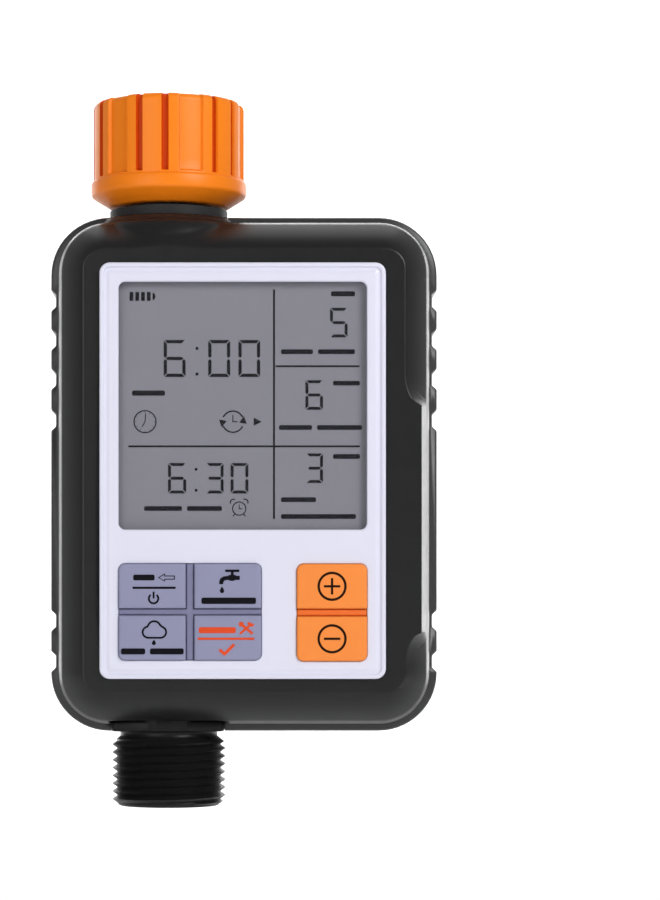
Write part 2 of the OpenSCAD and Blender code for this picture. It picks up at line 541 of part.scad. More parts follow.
// conical contact springs drawn as stacked wire rings on a stub
module spring(x, z0, s) translate([x, cell_y, z0]) union() {
  for (k = [0:3]) translate([0, 0, s*(0.35 + k*0.6)]) rotate_extrude() translate([3.4 - k*0.45, 0]) circle(0.33, $fn = 16);
  translate([-0.4, -3.6, s > 0 ? 0 : -2.3]) cube([0.8, 7.2, 2.3]);
}
module battery_springs() color([0.8, 0.8, 0.82]) { spring(cell_x[0], -81.2, 1); spring(cell_x[1], -27.8, -1); }
module battery_plates() color([0.8, 0.8, 0.82]) union() {
  box(25.5, 38.5, 8, 18, -81.7, -81.2);
  box(41.5, 54.5, 8, 18, -81.7, -81.2);
  translate([cell_x[1], cell_y, -81.25]) cylinder(h = 0.45, r = 2);
  box(25.5, 54.5, 8, 18, -27.8, -27.3);
  translate([cell_x[0], cell_y, -28.2]) cylinder(h = 0.45, r = 2);
}
module battery_door() color([0.22, 0.22, 0.23]) difference() {
  union() {
    box(22, 58, 21.6, y_back, -82.9, -25.8);
    box(35, 45, 21.6, y_back, -26, -19.2);
    for (x = [25.5, 44.5]) union() {
      xcyl(hinge_y, hinge_z, x, x + 7.5, 1);
      box(x, x + 7.5, 22, y_back, hinge_z, -82.5);
    }
  }
  xcyl(hinge_y, hinge_z, 20, 60, 0.57);
  ycyl(40, -22.8, 20, 26, 1.85);
  ycyl(40, -22.8, 22.6, 26, 3.2);
}
module battery_door_seal() color([0.1, 0.1, 0.1]) slab(20.85, 21.52) translate([40, -54.5]) difference() {
  square([35.4, 56.8], center = true); square([33.8, 55.2], center = true); }
module door_hinge_pin() color([0.75, 0.75, 0.77]) xcyl(hinge_y, hinge_z, 23.5, 52.4, 0.5);
module door_screw() color([0.7, 0.7, 0.72]) difference() {
  union() { ycyl(40, -22.8, 22.7, 23.9, 3.1); ycyl(40, -22.8, 17.8, 22.8, 1.8); }
  box(37.6, 42.4, 23.2, 25, -23.25, -22.35);
}

front_cover();
rear_cover();
case_gasket();
fascia_panel();
lcd_window();
lcd_glass();
lcd_frame();
lcd_contact_strip();
keypad_mat();
adjust_key_mat();
back_key();
manual_key();
rain_delay_key();
setup_key();
plus_key();
minus_key();
control_board();
tact_switches();
microcontroller();
buffer_capacitor();
lead_connectors();
board_screws();
case_screws();
inlet_nut();
inlet_washer();
inlet_filter();
inlet_tailpiece();
valve_body();
valve_joint_seal();
valve_screws();
valve_ball();
ball_seats();
valve_stem();
stem_seals();
stem_gland();
output_gear();
compound_gear_b();
compound_gear_a();
gear_pins();
motor_pinion();
gear_motor();
gearbox_base();
gearbox_cover();
gearbox_screws();
motor_leads();
battery_leads();
battery_cells();
battery_springs();
battery_plates();
battery_door();
battery_door_seal();
door_hinge_pin();
door_screw();
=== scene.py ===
import json
import math
import bpy
import bmesh
import numpy as np
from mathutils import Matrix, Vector


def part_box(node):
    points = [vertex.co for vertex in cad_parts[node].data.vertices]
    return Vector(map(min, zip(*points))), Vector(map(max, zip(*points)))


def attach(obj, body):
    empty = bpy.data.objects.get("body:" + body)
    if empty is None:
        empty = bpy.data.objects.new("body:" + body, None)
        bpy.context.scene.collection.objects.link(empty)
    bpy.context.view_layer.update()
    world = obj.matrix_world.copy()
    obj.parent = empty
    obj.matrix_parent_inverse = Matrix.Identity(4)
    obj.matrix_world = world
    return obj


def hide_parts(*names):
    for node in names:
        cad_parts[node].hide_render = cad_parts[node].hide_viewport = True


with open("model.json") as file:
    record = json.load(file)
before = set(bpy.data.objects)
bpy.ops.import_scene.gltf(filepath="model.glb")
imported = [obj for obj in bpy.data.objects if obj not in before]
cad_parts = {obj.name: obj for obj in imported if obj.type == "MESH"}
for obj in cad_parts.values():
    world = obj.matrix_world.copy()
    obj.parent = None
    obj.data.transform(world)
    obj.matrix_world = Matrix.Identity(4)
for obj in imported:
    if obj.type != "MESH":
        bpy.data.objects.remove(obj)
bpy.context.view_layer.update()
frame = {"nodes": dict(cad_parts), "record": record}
NODES = frame["nodes"]
S = bpy.context.scene
MM = 0.001


def nb(name):
    """Lowest and highest corner of a CAD node, in millimetres."""
    lo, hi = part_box(name)
    return np.array(lo) * 1000.0, np.array(hi) * 1000.0


def lin(c):
    """sRGB 0-255 to linear RGB."""
    out = []
    for v in c:
        v = v / 255.0
        out.append(v / 12.92 if v <= 0.04045 else ((v + 0.055) / 1.055) ** 2.4)
    return out


# ---------------------------------------------------------------- materials
def material(name, rgb, rough=0.4, metal=0.0, var=0.06, var_scale=90.0, grain=0.25, grain_scale=1500.0,
             rvar=0.08, spec=0.5, coat=0.0, alpha=1.0, rgb2=None, stretch=None, sss=0.0, wear=0.0):
    m = bpy.data.materials.new(name)
    m.use_nodes = True
    t = m.node_tree
    t.nodes.clear()
    out = t.nodes.new("ShaderNodeOutputMaterial")
    b = t.nodes.new("ShaderNodeBsdfPrincipled")
    t.links.new(b.outputs["BSDF"], out.inputs["Surface"])
    tc = t.nodes.new("ShaderNodeTexCoord")
    src = tc.outputs["Object"]
    if stretch:
        mp = t.nodes.new("ShaderNodeMapping")
        mp.inputs["Scale"].default_value = stretch
        t.links.new(src, mp.inputs["Vector"])
        src = mp.outputs["Vector"]

    def noise(scale, detail, rough_=0.5):
        n = t.nodes.new("ShaderNodeTexNoise")
        n.inputs["Scale"].default_value = scale
        n.inputs["Detail"].default_value = detail
        n.inputs["Roughness"].default_value = rough_
        t.links.new(src, n.inputs["Vector"])
        return n.outputs["Fac"]
    base = lin(rgb)
    other = lin(rgb2) if rgb2 else None
    big = noise(var_scale, 4.0)
    ramp = t.nodes.new("ShaderNodeValToRGB")
    lo = other if other else [max(0.0, v * (1 - var)) for v in base]
    hi = base if other else [min(1.0, v * (1 + var)) for v in base]
    ramp.color_ramp.elements[0].position = 0.3
    ramp.color_ramp.elements[0].color = (*lo, 1)
    ramp.color_ramp.elements[1].position = 0.7
    ramp.color_ramp.elements[1].color = (*hi, 1)
    t.links.new(big, ramp.inputs["Fac"])
    t.links.new(ramp.outputs["Color"], b.inputs["Base Color"])
    fine = noise(grain_scale, 3.0, 0.6)
    mr = t.nodes.new("ShaderNodeMapRange")
    mr.inputs["From Min"].default_value = 0.3
    mr.inputs["From Max"].default_value = 0.7
    mr.inputs["To Min"].default_value = max(0.02, rough - rvar)
    mr.inputs["To Max"].default_value = min(1.0, rough + rvar)
    t.links.new(noise(var_scale * 4, 3.0), mr.inputs["Value"])
    t.links.new(mr.outputs["Result"], b.inputs["Roughness"])
    if grain > 0:
        bump = t.nodes.new("ShaderNodeBump")
        bump.inputs["Strength"].default_value = grain
        bump.inputs["Distance"].default_value = 0.00004
        t.links.new(fine, bump.inputs["Height"])
        t.links.new(bump.outputs["Normal"], b.inputs["Normal"])
    b.inputs["Metallic"].default_value = metal
    b.inputs["Specular IOR Level"].default_value = spec
    if coat:
        b.inputs["Coat Weight"].default_value = coat
        b.inputs["Coat Roughness"].default_value = 0.15
    if sss:
        b.inputs["Subsurface Weight"].default_value = sss
        b.inputs["Subsurface Radius"].default_value = (0.002, 0.001, 0.0005)
        b.inputs["Subsurface Scale"].default_value = 1.0
    if alpha < 1:
        b.inputs["Alpha"].default_value = alpha
    return m


M = {
    "housing": material("housing_plastic", (25, 25, 26), rough=0.33, var=0.03, grain=0.0, rvar=0.02, spec=0.36),
    "housing_rear": material("rear_plastic", (46, 46, 47), rough=0.36, var=0.03, grain=0.0, rvar=0.02, spec=0.5),
    "rubber": material("seal_rubber_mat", (22, 22, 22), rough=0.7, grain=0.4, spec=0.3),
    "panel": material("panel_plastic", (224, 224, 240), rough=0.30, var=0.004, grain=0.0, rvar=0.01, spec=0.5),
    "window": material("window_acrylic", (150, 150, 160), rough=0.10, var=0.02, grain=0.0, spec=0.3, alpha=0.03),
    "display": material("display_film", (133, 132, 141), rough=0.5, var=0.012, grain=0.0, rvar=0.02, spec=0.2),
    "ink": material("segment_ink", (7, 7, 11), rough=0.75, var=0.05, grain=0.0, rvar=0.02, spec=0.06),
    "black": material("black_moulding", (24, 24, 25), rough=0.45, grain=0.3),
    "contact": material("contact_strip_mat", (196, 140, 150), rough=0.7, rgb2=(70, 60, 66), var_scale=500, grain=0.3,
                        stretch=(2600.0 / 500, 0.02, 0.02)),
    # the two silicone mats are painted darker than their keys: painted shade in the gaps between the keys
    "grey_silicone": material("grey_silicone_mat", (125, 125, 155), rough=0.62, var=0.02, grain=0.05, grain_scale=900, spec=0.3),
    "orange_silicone": material("orange_silicone_mat", (232, 112, 40), rough=0.60, var=0.02, grain=0.05, grain_scale=900, spec=0.3),
    "grey_key": material("grey_key_mat", (141, 142, 171), rough=0.52, var=0.012, grain=0.04, grain_scale=900, rvar=0.03, spec=0.35),
    "orange_key": material("orange_key_mat", (246, 140, 58), rough=0.50, var=0.012, grain=0.04, grain_scale=900, rvar=0.03, spec=0.35),
    "key_ink": material("key_print", (16, 16, 22), rough=0.7, var=0.05, grain=0.0, rvar=0.02, spec=0.08),
    "red_ink": material("key_print_red", (222, 78, 40), rough=0.6, var=0.04, grain=0.0, rvar=0.02, spec=0.1),
    "brown_ink": material("key_print_brown", (34, 18, 8), rough=0.7, var=0.05, grain=0.0, rvar=0.02, spec=0.08),
    "board": material("board_laminate", (20, 86, 48), rough=0.4, rgb2=(14, 62, 36), var_scale=420, grain=0.2, coat=0.3),
    "chip": material("chip_epoxy", (20, 20, 21), rough=0.55, grain=0.5),
    "cap": material("capacitor_sleeve_mat", (32, 44, 92), rough=0.35, rgb2=(26, 36, 78), grain=0.1),
    "natural": material("natural_nylon", (226, 222, 208), rough=0.42, var=0.03, grain=0.2, sss=0.1),
    "steel": material("zinc_steel", (176, 177, 182), rough=0.3, metal=1.0, var=0.08, var_scale=350, grain=0.3,
                      grain_scale=900),
    "nut": material("nut_plastic", (250, 132, 18), rough=0.38, var=0.02, var_scale=60, grain=0.0,
                    rvar=0.02, spec=0.26),
    # darker orange for the faces inside the nut's grooves: painted shade, the same plastic as the rest of the nut
    "nut_groove": material("nut_groove_plastic", (214, 74, 6), rough=0.5, var=0.02, var_scale=60, grain=0.0, rvar=0.02, spec=0.15),
    "white": material("white_nylon", (236, 236, 234), rough=0.4, var=0.02, grain=0.2, sss=0.08),
    # neck painted lighter than the black valve moulding: painted reflection on the same black plastic
    "neck": material("neck_plastic_mat", (47, 47, 48), rough=0.50, var=0.03, grain=0.0, rvar=0.02, spec=0.12),
    "valve": material("valve_glass_nylon", (25, 25, 26), rough=0.34, var=0.05, var_scale=160, grain=0.0,
                      rvar=0.03, spec=0.16),
    "ptfe": material("ptfe", (240, 240, 236), rough=0.5, var=0.02, grain=0.1, sss=0.1),
    "brass": material("brass_mat", (212, 170, 92), rough=0.28, metal=1.0, var=0.1, var_scale=300, grain=0.2),
    "acetal": material("acetal_mat", (238, 238, 232), rough=0.35, var=0.02, grain=0.12, sss=0.08),
    "can": material("motor_can_mat", (170, 171, 176), rough=0.34, metal=1.0, var=0.08, var_scale=200, grain=0.25),
    "gearbox": material("gearbox_abs", (74, 75, 80), rough=0.45, var=0.06, grain=0.35),
    "red_wire": material("red_insulation_mat", (176, 24, 22), rough=0.42, var=0.06, grain=0.1),
    "black_wire": material("black_insulation_mat", (26, 26, 30), rough=0.42, var=0.08, grain=0.1),
    "battery": material("battery_sleeve_mat", (44, 84, 72), rough=0.28, rgb2=(38, 74, 64), var_scale=40, grain=0.05,
                        coat=0.3),
    "spring": material("nickel_spring", (196, 196, 200), rough=0.22, metal=1.0, var=0.06, var_scale=400, grain=0.1),
}

# finish of every CAD node that stays visible
SLOT_MAT = {
    "housing": "housing", "housing_rear": "housing_rear", "seal_rubber": "rubber", "panel_white": "panel",
    "clear_window": "window", "display": "display", "black_plastic": "black", "contact_rubber": "contact",
    "grey_silicone": "grey_silicone", "orange_silicone": "orange_silicone", "grey_key": "grey_key",
    "orange_key": "orange_key", "circuit_board": "board", "chip_black": "chip", "capacitor_sleeve": "cap",
    "natural_plastic": "natural", "steel": "steel", "orange_nut": "nut", "white_plastic": "white",
    "neck_plastic": "neck", "valve_black": "valve", "seat_ptfe": "ptfe", "brass": "brass",
    "gear_acetal": "acetal", "motor_can": "can", "gearbox_plastic": "gearbox", "red_insulation": "red_wire",
    "black_insulation": "black_wire", "battery_sleeve": "battery", "spring_steel": "spring",
}
node_slot = {}
for sp in frame["record"].get("subparts") or frame["record"].get("sub_parts") or []:
    if sp.get("node") and sp.get("material_slot"):
        node_slot[sp["node"]] = sp["material_slot"]
for n, o in NODES.items():
    slot_name = node_slot.get(n)
    if slot_name is None and o.data.materials and o.data.materials[0]:
        slot_name = o.data.materials[0].name.split(".")[0]
    mat = M[SLOT_MAT.get(slot_name, "black")]
    o.data.materials.clear()
    o.data.materials.append(mat)


# ---------------------------------------------------------------- mesh helpers
def new_object(name, me):
    o = bpy.data.objects.new(name, me)
    S.collection.objects.link(o)
    return o


def zip_slivers(bm):
    """Close gaps of three edges whose middle vertex lies on the longest edge."""
    more = True
    while more:
        more = False
        for e in [e for e in bm.edges if len(e.link_faces) == 1]:
            a, c = e.verts
            for f in a.link_edges:
                if f is e or len(f.link_faces) != 1:
                    continue
                v = f.other_vert(a)
                g = next((h for h in v.link_edges if h.other_vert(v) is c and len(h.link_faces) == 1), None)
                if g is None or f.calc_length() + g.calc_length() > e.calc_length() * 1.001:
                    continue
                w = bmesh.utils.edge_split(e, a, f.calc_length() / e.calc_length())[1]
                bmesh.ops.weld_verts(bm, targetmap={w: v})
                more = True
                break
            if more:
                break


def clean(me, sharp=35.0, merge=1.5e-6, recalc=True):
    bm = bmesh.new()
    bm.from_mesh(me)
    bmesh.ops.remove_doubles(bm, verts=bm.verts, dist=merge)
    bmesh.ops.dissolve_degenerate(bm, edges=bm.edges, dist=1e-7)
    zip_slivers(bm)
    loose = [v for v in bm.verts if not v.link_faces]
    if loose:
        bmesh.ops.delete(bm, geom=loose, context="VERTS")
    if recalc:
        bmesh.ops.recalc_face_normals(bm, faces=bm.faces)
    for f in bm.faces:
        f.smooth = True
    bm.to_mesh(me)
    bm.free()
    me.set_sharp_from_angle(angle=math.radians(sharp))
    me.update()


class Build:
    """Gathers vertices and faces in millimetres; coincident ones are merged at the end."""

    def __init__(self):
        self.v, self.f = [], []
        self.n = 0

    def add(self, pts):
        pts = np.asarray(pts, float)
        i = self.n
        self.v.append(pts)
        self.n += len(pts)
        return np.arange(i, i + len(pts))

    def strip(self, rings, closed=True):
        """Quads between successive rings of equal length."""
        idx = [self.add(r) for r in rings]
        for a, b in zip(idx[:-1], idx[1:]):
            m = len(a)
            for j in range(m if closed else m - 1):
                k = (j + 1) % m
                self.f.append((a[j], a[k], b[k], b[j]))
        return idx

    def cap(self, ring):
        i = self.add(ring)
        self.f.append(tuple(i))

    def fan(self, ring, centre):
        i = self.add(ring)
        c = self.add([centre])[0]
        m = len(i)
        for j in range(m):
            self.f.append((i[j], i[(j + 1) % m], c))

    def fill(self, loops):
        """Flat region between an outer loop and holes, all in one plane of constant Y."""
        bm = bmesh.new()
        edges = []
        for lp in loops:
            vs = [bm.verts.new(p) for p in lp]
            for j in range(len(vs)):
                edges.append(bm.edges.new((vs[j], vs[(j + 1) % len(vs)])))
        bmesh.ops.triangle_fill(bm, edges=edges, use_beauty=True, use_dissolve=False)
        bm.verts.index_update()
        i = self.add([v.co[:] for v in bm.verts])
        for f in bm.faces:
            self.f.append(tuple(i[v.index] for v in f.verts))
        bm.free()

    def object(self, name, mat, sharp=35.0):
        me = bpy.data.meshes.new(name)
        v = np.vstack(self.v) * MM
        me.from_pydata(v.tolist(), [], [tuple(int(x) for x in f) for f in self.f])
        clean(me, sharp)
        me.materials.append(mat)
        return new_object(name, me)


def rr(cx, cz, w, h, r, k=8):
    """Rounded rectangle in X and Z, (N, 2), anticlockwise seen from the front. r may be four radii, lower right first."""
    pts = []
    rs_ = r if isinstance(r, (tuple, list)) else (r, r, r, r)
    for (sx, sz, a0), q in zip(((1, -1, -90), (1, 1, 0), (-1, 1, 90), (-1, -1, 180)), rs_):
        for j in range(k + 1):
            a = math.radians(a0 + 90.0 * j / k)
            pts.append((cx + sx * (w / 2 - q) + q * math.cos(a), cz + sz * (h / 2 - q) + q * math.sin(a)))
    return np.array(pts)


def at_y(p2, y):
    p2 = np.asarray(p2)
    return np.column_stack([p2[:, 0], np.full(len(p2), y), p2[:, 1]])


def cad_copy(node, merge=1.5e-6):
    """A merged copy of a CAD node's mesh, as a new object."""
    me = NODES[node].data.copy()
    o = new_object("tmp_" + node, me)
    bm = bmesh.new()
    bm.from_mesh(me)
    bmesh.ops.remove_doubles(bm, verts=bm.verts, dist=merge)
    bmesh.ops.dissolve_degenerate(bm, edges=bm.edges, dist=1e-7)
    bmesh.ops.recalc_face_normals(bm, faces=bm.faces)
    bm.to_mesh(me)
    bm.free()
    return o


def boolean(obj, other, op, keep=False):
    md = obj.modifiers.new("b", "BOOLEAN")
    md.operation = op
    md.solver = "EXACT"
    md.object = other
    dg = bpy.context.evaluated_depsgraph_get()
    dg.update()
    me = bpy.data.meshes.new_from_object(obj.evaluated_get(dg))
    obj.modifiers.clear()
    old = obj.data
    obj.data = me
    bpy.data.meshes.remove(old)
    if not keep:
        bpy.data.objects.remove(other)
    return obj


def paint(o, mat):
    o.data.materials.clear()
    o.data.materials.append(mat)
    for p in o.data.polygons:
        p.material_index = 0


def open_edges(o):
    bm = bmesh.new()
    bm.from_mesh(o.data)
    bad = sum(1 for e in bm.edges if len(e.link_faces) != 2)
    n = len(bm.faces)
    bm.free()
    return bad, n


def finish_piece(o, name, body, nodes=()):
    o.name = name
    o.data.name = name
    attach(o, body)
    if nodes:
        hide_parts(*nodes)
    print("piece", name, "edges not shared by two faces, faces:", open_edges(o))
    return o


def smooth01(t):
    t = np.clip(t, 0.0, 1.0)
    return t * t * (3 - 2 * t)


# ---------------------------------------------------------------- covers
rc_lo, rc_hi = nb("rear_cover")
XL, XR, ZB, ZT = rc_lo[0], rc_hi[0], rc_lo[2], rc_hi[2]
Y_BACK = rc_hi[1]
Y_PART = rc_lo[1]
CX, CZ = (XL + XR) / 2, (ZB + ZT) / 2
W, H, R0 = XR - XL, ZT - ZB, 13.5
GRIPS = (-32.2, -41.2, -50.3, -59.8, -106.0, -115.4)


def outline():
    """Points of the housing's outline with inward normals: (N, 2), (N, 2)."""
    P, Nn = [], []

    def side(a, b, n, step):
        L = np.linalg.norm(np.subtract(b, a))
        m = int(round(L / step))
        for j in range(m):
            P.append(np.array(a) + (np.array(b) - np.array(a)) * j / m)
            Nn.append(n)

    def arc(cx, cz, a0, k=14):
        for j in range(k):
            a = math.radians(a0 + 90.0 * j / k)
            P.append(np.array([cx + R0 * math.cos(a), cz + R0 * math.sin(a)]))
            Nn.append((-math.cos(a), -math.sin(a)))
    side((XR, ZB + R0), (XR, ZT - R0), (-1, 0), 0.42)
    arc(XR - R0, ZT - R0, 0)
    side((XR - R0, ZT), (XL + R0, ZT), (0, -1), 0.6)
    arc(XL + R0, ZT - R0, 90)
    side((XL, ZT - R0), (XL, ZB + R0), (1, 0), 0.42)
    arc(XL + R0, ZB + R0, 180)
    side((XL + R0, ZB), (XR - R0, ZB), (0, 1), 2.0)
    arc(XR - R0, ZB + R0, 270)
    return np.array(P), np.array(Nn, float)


OP, ON = outline()


def scallop(z):
    g = np.zeros_like(z)
    for c in GRIPS:
        g = np.maximum(g, 1.1 * smooth01((2.55 - np.abs(z - c)) / 1.3))
    return g


def rear_ring(y, inset, k=1.0):
    g = scallop(OP[:, 1]) * (np.abs(ON[:, 0]) > 0.999) * k
    p = OP + ON * (inset + g)[:, None]
    return at_y(p, y)


b = Build()
rings = [rear_ring(y, i) for y, i in
         ((-8.2, 1.15), (-7.05, 0.62), (-6.95, 0.50), (-6.75, 0.33), (-6.45, 0.18), (-6.0, 0.08), (-5.4, 0.04), (0, 0.04),
          (8, 0.04), (15.15, 0.04))]
for j in range(1, 6):
    t = j / 5
    rings.append(rear_ring(15.15 + 2.6 * t, 0.04, 1 - float(smooth01(t))))
rr_ = 4.45
y0 = Y_BACK - 0.02 - rr_
for j in range(0, 10):
    a = math.radians(90 * j / 9)
    rings.append(rear_ring(y0 + rr_ * math.sin(a), 0.04 + rr_ * (1 - math.cos(a)), 0.0))
b.strip(rings)
b.cap(rings[0])
b.cap(rings[-1])
loft = b.object("rear_loft", M["housing_rear"])
rear = cad_copy("rear_cover")
boolean(rear, loft, "INTERSECT")
clean(rear.data, 32.0, 1e-6, False)
paint(rear, M["housing_rear"])
finish_piece(rear, "rear_cover_shell", "root", ("rear_cover",))

# front cover
fc_lo, fc_hi = nb("front_cover")
Y_FACE = fc_lo[1] + 0.02
X = OP[:, 0]
Z = OP[:, 1]
on_right = ON[:, 0] < -0.999
t_up = np.clip((-49.9 - Z) / 7.3, 0.0, 1.0)
t_dn = np.clip((Z + 116.2) / 7.3, 0.0, 1.0)
hook = np.minimum(1 - np.sqrt(1 - t_up ** 2), 1 - np.sqrt(1 - t_dn ** 2))
w = np.where(on_right, hook, 0.0)
up = ON[:, 1] ** 2                    # 1 along the top and bottom, 0 along the sides
I_WALL = 2.15 - 0.35 * up
Y_W = 10.35 - 0.45 * up
S_I = 3.05 - 0.40 * up
S_Y = -13.95 + 0.65 * up
b_i = 8.2 + 0.8 * up
c_i = 5.22 + (5.90 - 5.22) * up
c_y = -17.62 + (-18.93 + 17.62) * up
b_i = b_i + (4.5 - b_i) * w
c_i = c_i + (3.8 - c_i) * w
c_y = c_y + (-17.3 - c_y) * w
on_top = ON[:, 1] < -0.999


def smax(a, c, k):
    h = np.maximum(k - np.abs(a - c), 0.0) / k
    return np.maximum(a, c) + h * h * k / 4


def bulge(i):
    """Depth of the swelling round the neck, at an inset i."""
    i = np.maximum(i, 1.8)
    r = 17.3 + 2.6 * (1 - np.exp(-(i - 1.8) / 3.2)) / 0.896 - 0.25 * np.exp(-(i - 1.8) / 0.45)
    return np.where(on_top, np.sqrt(np.maximum(r * r - X * X, 0.0)), 0.0)


def blend(i):
    return float(0.76 + 1.5 * np.clip((np.mean(i) - 2.65) / 3.2, 0.0, 1.0))


one = np.ones(len(X))
wall_end = -smax(Y_W * one, bulge(I_WALL * one), 0.76)
rings = []
for t in (0.0, 0.6, 1.0):
    y = -3.6 + (wall_end + 3.6) * t
    p = OP + ON * I_WALL[:, None]
    rings.append(np.column_stack([p[:, 0], y, p[:, 1]]))
profile = []
T0, T1 = math.radians(80), math.radians(72)
rad = (S_I - I_WALL) / (math.sin(T0) - math.sin(T1))
drop_ = (-S_Y - Y_W) / (math.cos(T1) - math.cos(T0))
for j in range(1, 8):
    a = T0 + (T1 - T0) * j / 7
    profile.append(((I_WALL + rad * (math.sin(T0) - math.sin(a))) * one, -(Y_W + drop_ * (math.cos(a) - math.cos(T0))) * one))
NS = 20
for j in range(1, NS + 1):
    t = j / NS
    i = (1 - t) ** 2 * S_I + 2 * t * (1 - t) * c_i + t * t * b_i
    y = (1 - t) ** 2 * S_Y + 2 * t * (1 - t) * c_y + t * t * Y_FACE
    profile.append((i, y))
for d in (0.3, 0.7, 1.2):
    profile.append((b_i + d, Y_FACE * one))
for i, y in profile:
    y = -smax(-y, bulge(i), blend(i))
    y = np.maximum(y, Y_FACE)
    p = OP + ON * i[:, None]
    rings.append(np.column_stack([p[:, 0], y, p[:, 1]]))
p = OP + ON * 10.6
rings.append(at_y(p, Y_FACE))
b = Build()
b.strip(rings)
b.cap(rings[0])
b.cap(rings[-1])
loft = b.object("front_loft", M["housing"])
front = cad_copy("front_cover")
boolean(front, loft, "INTERSECT")
clean(front.data, 32.0, 1e-6, False)
paint(front, M["housing"])
# saddle of the front cover round the neck, level with the rim of the rear cover
b = Build()
AS = 2 * math.pi * np.arange(240) / 240
sad = [(13.8, ZT - 2.6), (13.8, ZT - 0.6), (13.9, ZT - 0.4), (14.15, ZT - 0.3), (14.7, ZT - 0.27), (15.2, ZT - 0.35), (15.75, ZT - 0.55),
       (16.3, ZT - 0.9), (16.75, ZT - 1.35), (17.1, ZT - 1.9), (17.35, ZT - 2.6)]
b.strip([np.column_stack([r * np.cos(AS), r * np.sin(AS), np.full(240, z)]) for r, z in sad + [sad[0]]])
saddle = b.object("saddle", M["housing"], 40.0)
me = bpy.data.meshes.new("keep")
bm = bmesh.new()
bmesh.ops.create_cube(bm, size=1.0)
for v in bm.verts:
    v.co.x *= 0.06
    v.co.y = (-30.0 if v.co.y < 0 else -8.4) * MM
    v.co.z = (ZT - 4.0 if v.co.z < 0 else ZT + 3.0) * MM
bm.to_mesh(me)
bm.free()
boolean(saddle, new_object("keep", me), "INTERSECT")
boolean(front, saddle, "UNION")
clean(front.data, 32.0, 1e-6, False)
paint(front, M["housing"])
finish_piece(front, "front_cover_shell", "root", ("front_cover",))


# ---------------------------------------------------------------- swivel nut
PITCH = 1.814


def column_dirs(n, phase=0.0):
    a = 2 * math.pi * np.arange(n) / n + phase
    return a


def lathe_ring(a, r, z):
    r = np.broadcast_to(r, a.shape)
    return np.column_stack([r * np.cos(a), r * np.sin(a), np.full(len(a), z)])


def helical(bld, n, zlo, zhi, rfun, m=8, hand=1):
    """Band whose rows follow a helix of the thread's pitch. rfun(z, phase) gives the radius; phase is 0 to 1 in the thread."""
    a = column_dirs(n)
    d = PITCH / m
    K = int(math.ceil((zhi - zlo) / d)) + m + 1
    grid = np.zeros((n, K + 1), int)
    for j in range(n):
        f = j / n
        k = np.arange(K + 1)
        z = np.clip(zlo + (k - m + f * m) * d, zlo, zhi)
        ph = ((z - zlo) / PITCH - f) % 1.0
        r = rfun(z, ph)
        ang = a[j] * hand
        grid[j] = bld.add(np.column_stack([r * np.cos(ang), r * np.sin(ang), z]))
    for j in range(n):
        if j < n - 1:
            lo_, hi_ = grid[j], grid[j + 1]
            for k in range(K):
                bld.f.append((lo_[k], hi_[k], hi_[k + 1], lo_[k + 1]))
        else:
            lo_, hi_ = grid[j], grid[0]
            for k in range(K):
                k1, k2 = min(k + m, K), min(k + 1 + m, K)
                if k1 == k2:
                    bld.f.append((lo_[k], hi_[k1], lo_[k + 1]))
                else:
                    bld.f.append((lo_[k], hi_[k1], hi_[k2], lo_[k + 1]))


def grip_r(a, z):
    """Outer radius of the nut's grip zone."""
    r = np.full(len(a), 17.45)
    zt = smooth01((z + 3.9) / 0.6)
    deg = np.degrees(a)
    rec = (deg + 71.4) % 60.0
    rec = np.where(rec > 30, rec - 60, rec)
    r -= 0.75 * smooth01((9.9 - np.abs(rec)) / 1.5) * zt
    for c in (20.0, 40.0):
        d = (deg + 71.4 - c) % 60.0
        d = np.where(d > 30, d - 60, d)
        r -= 1.15 * np.minimum(1.0, 1.25 * np.sqrt(np.maximum(0.0, 1 - (d / 2.6) ** 2))) * zt
    return r


n_lo, n_hi = nb("inlet_nut")
NN = 720
A = column_dirs(NN)
b = Build()
ZN = n_hi[2]
outer = [(10.4, n_lo[2]), (13.2, n_lo[2]), (13.6, n_lo[2] + 0.05), (13.95, n_lo[2] + 0.2), (17.55, -7.72), (17.85, -7.42), (18.0, -7.1),
         (18.03, -6.7), (18.03, -4.85), (17.97, -4.6), (17.8, -4.36), (17.55, -4.24)]
rings = [lathe_ring(A, r, z) for r, z in outer]
for z in (-4.2, -4.0, -3.8, -3.6, -3.4, -3.2, -1.0, 3.0, 7.0, 11.0, 12.3, 12.45, 12.6):
    rings.append(lathe_ring(A, grip_r(A, z), z))
for j in range(1, 8):
    t = math.radians(90 * j / 7)
    z = 12.6 + (ZN - 12.6) * math.sin(t)
    drop = 1.5 * (1 - math.cos(t))
    g = 17.45 - grip_r(A, z)
    rings.append(lathe_ring(A, 17.45 - drop - g, z))
for r, z in ((14.35, ZN), (14.0, ZN - 0.06), (13.75, ZN - 0.28), (13.3, ZN - 0.75)):
    rings.append(lathe_ring(A, r, z))
b.strip(rings)


Z_T0, Z_T1 = 0.0, ZN - 0.75


def nut_r(z, ph):
    t = np.abs(ph * 2 - 1)
    r = 12.08 + 1.1 * smooth01((t - 0.12) / 0.76)
    up = smooth01((z - (Z_T1 - 1.3)) / 1.3)
    dn = smooth01(((Z_T0 + 0.6) - z) / 0.6)
    r = r * (1 - up) + 13.3 * up
    return r * (1 - dn) + 12.45 * dn


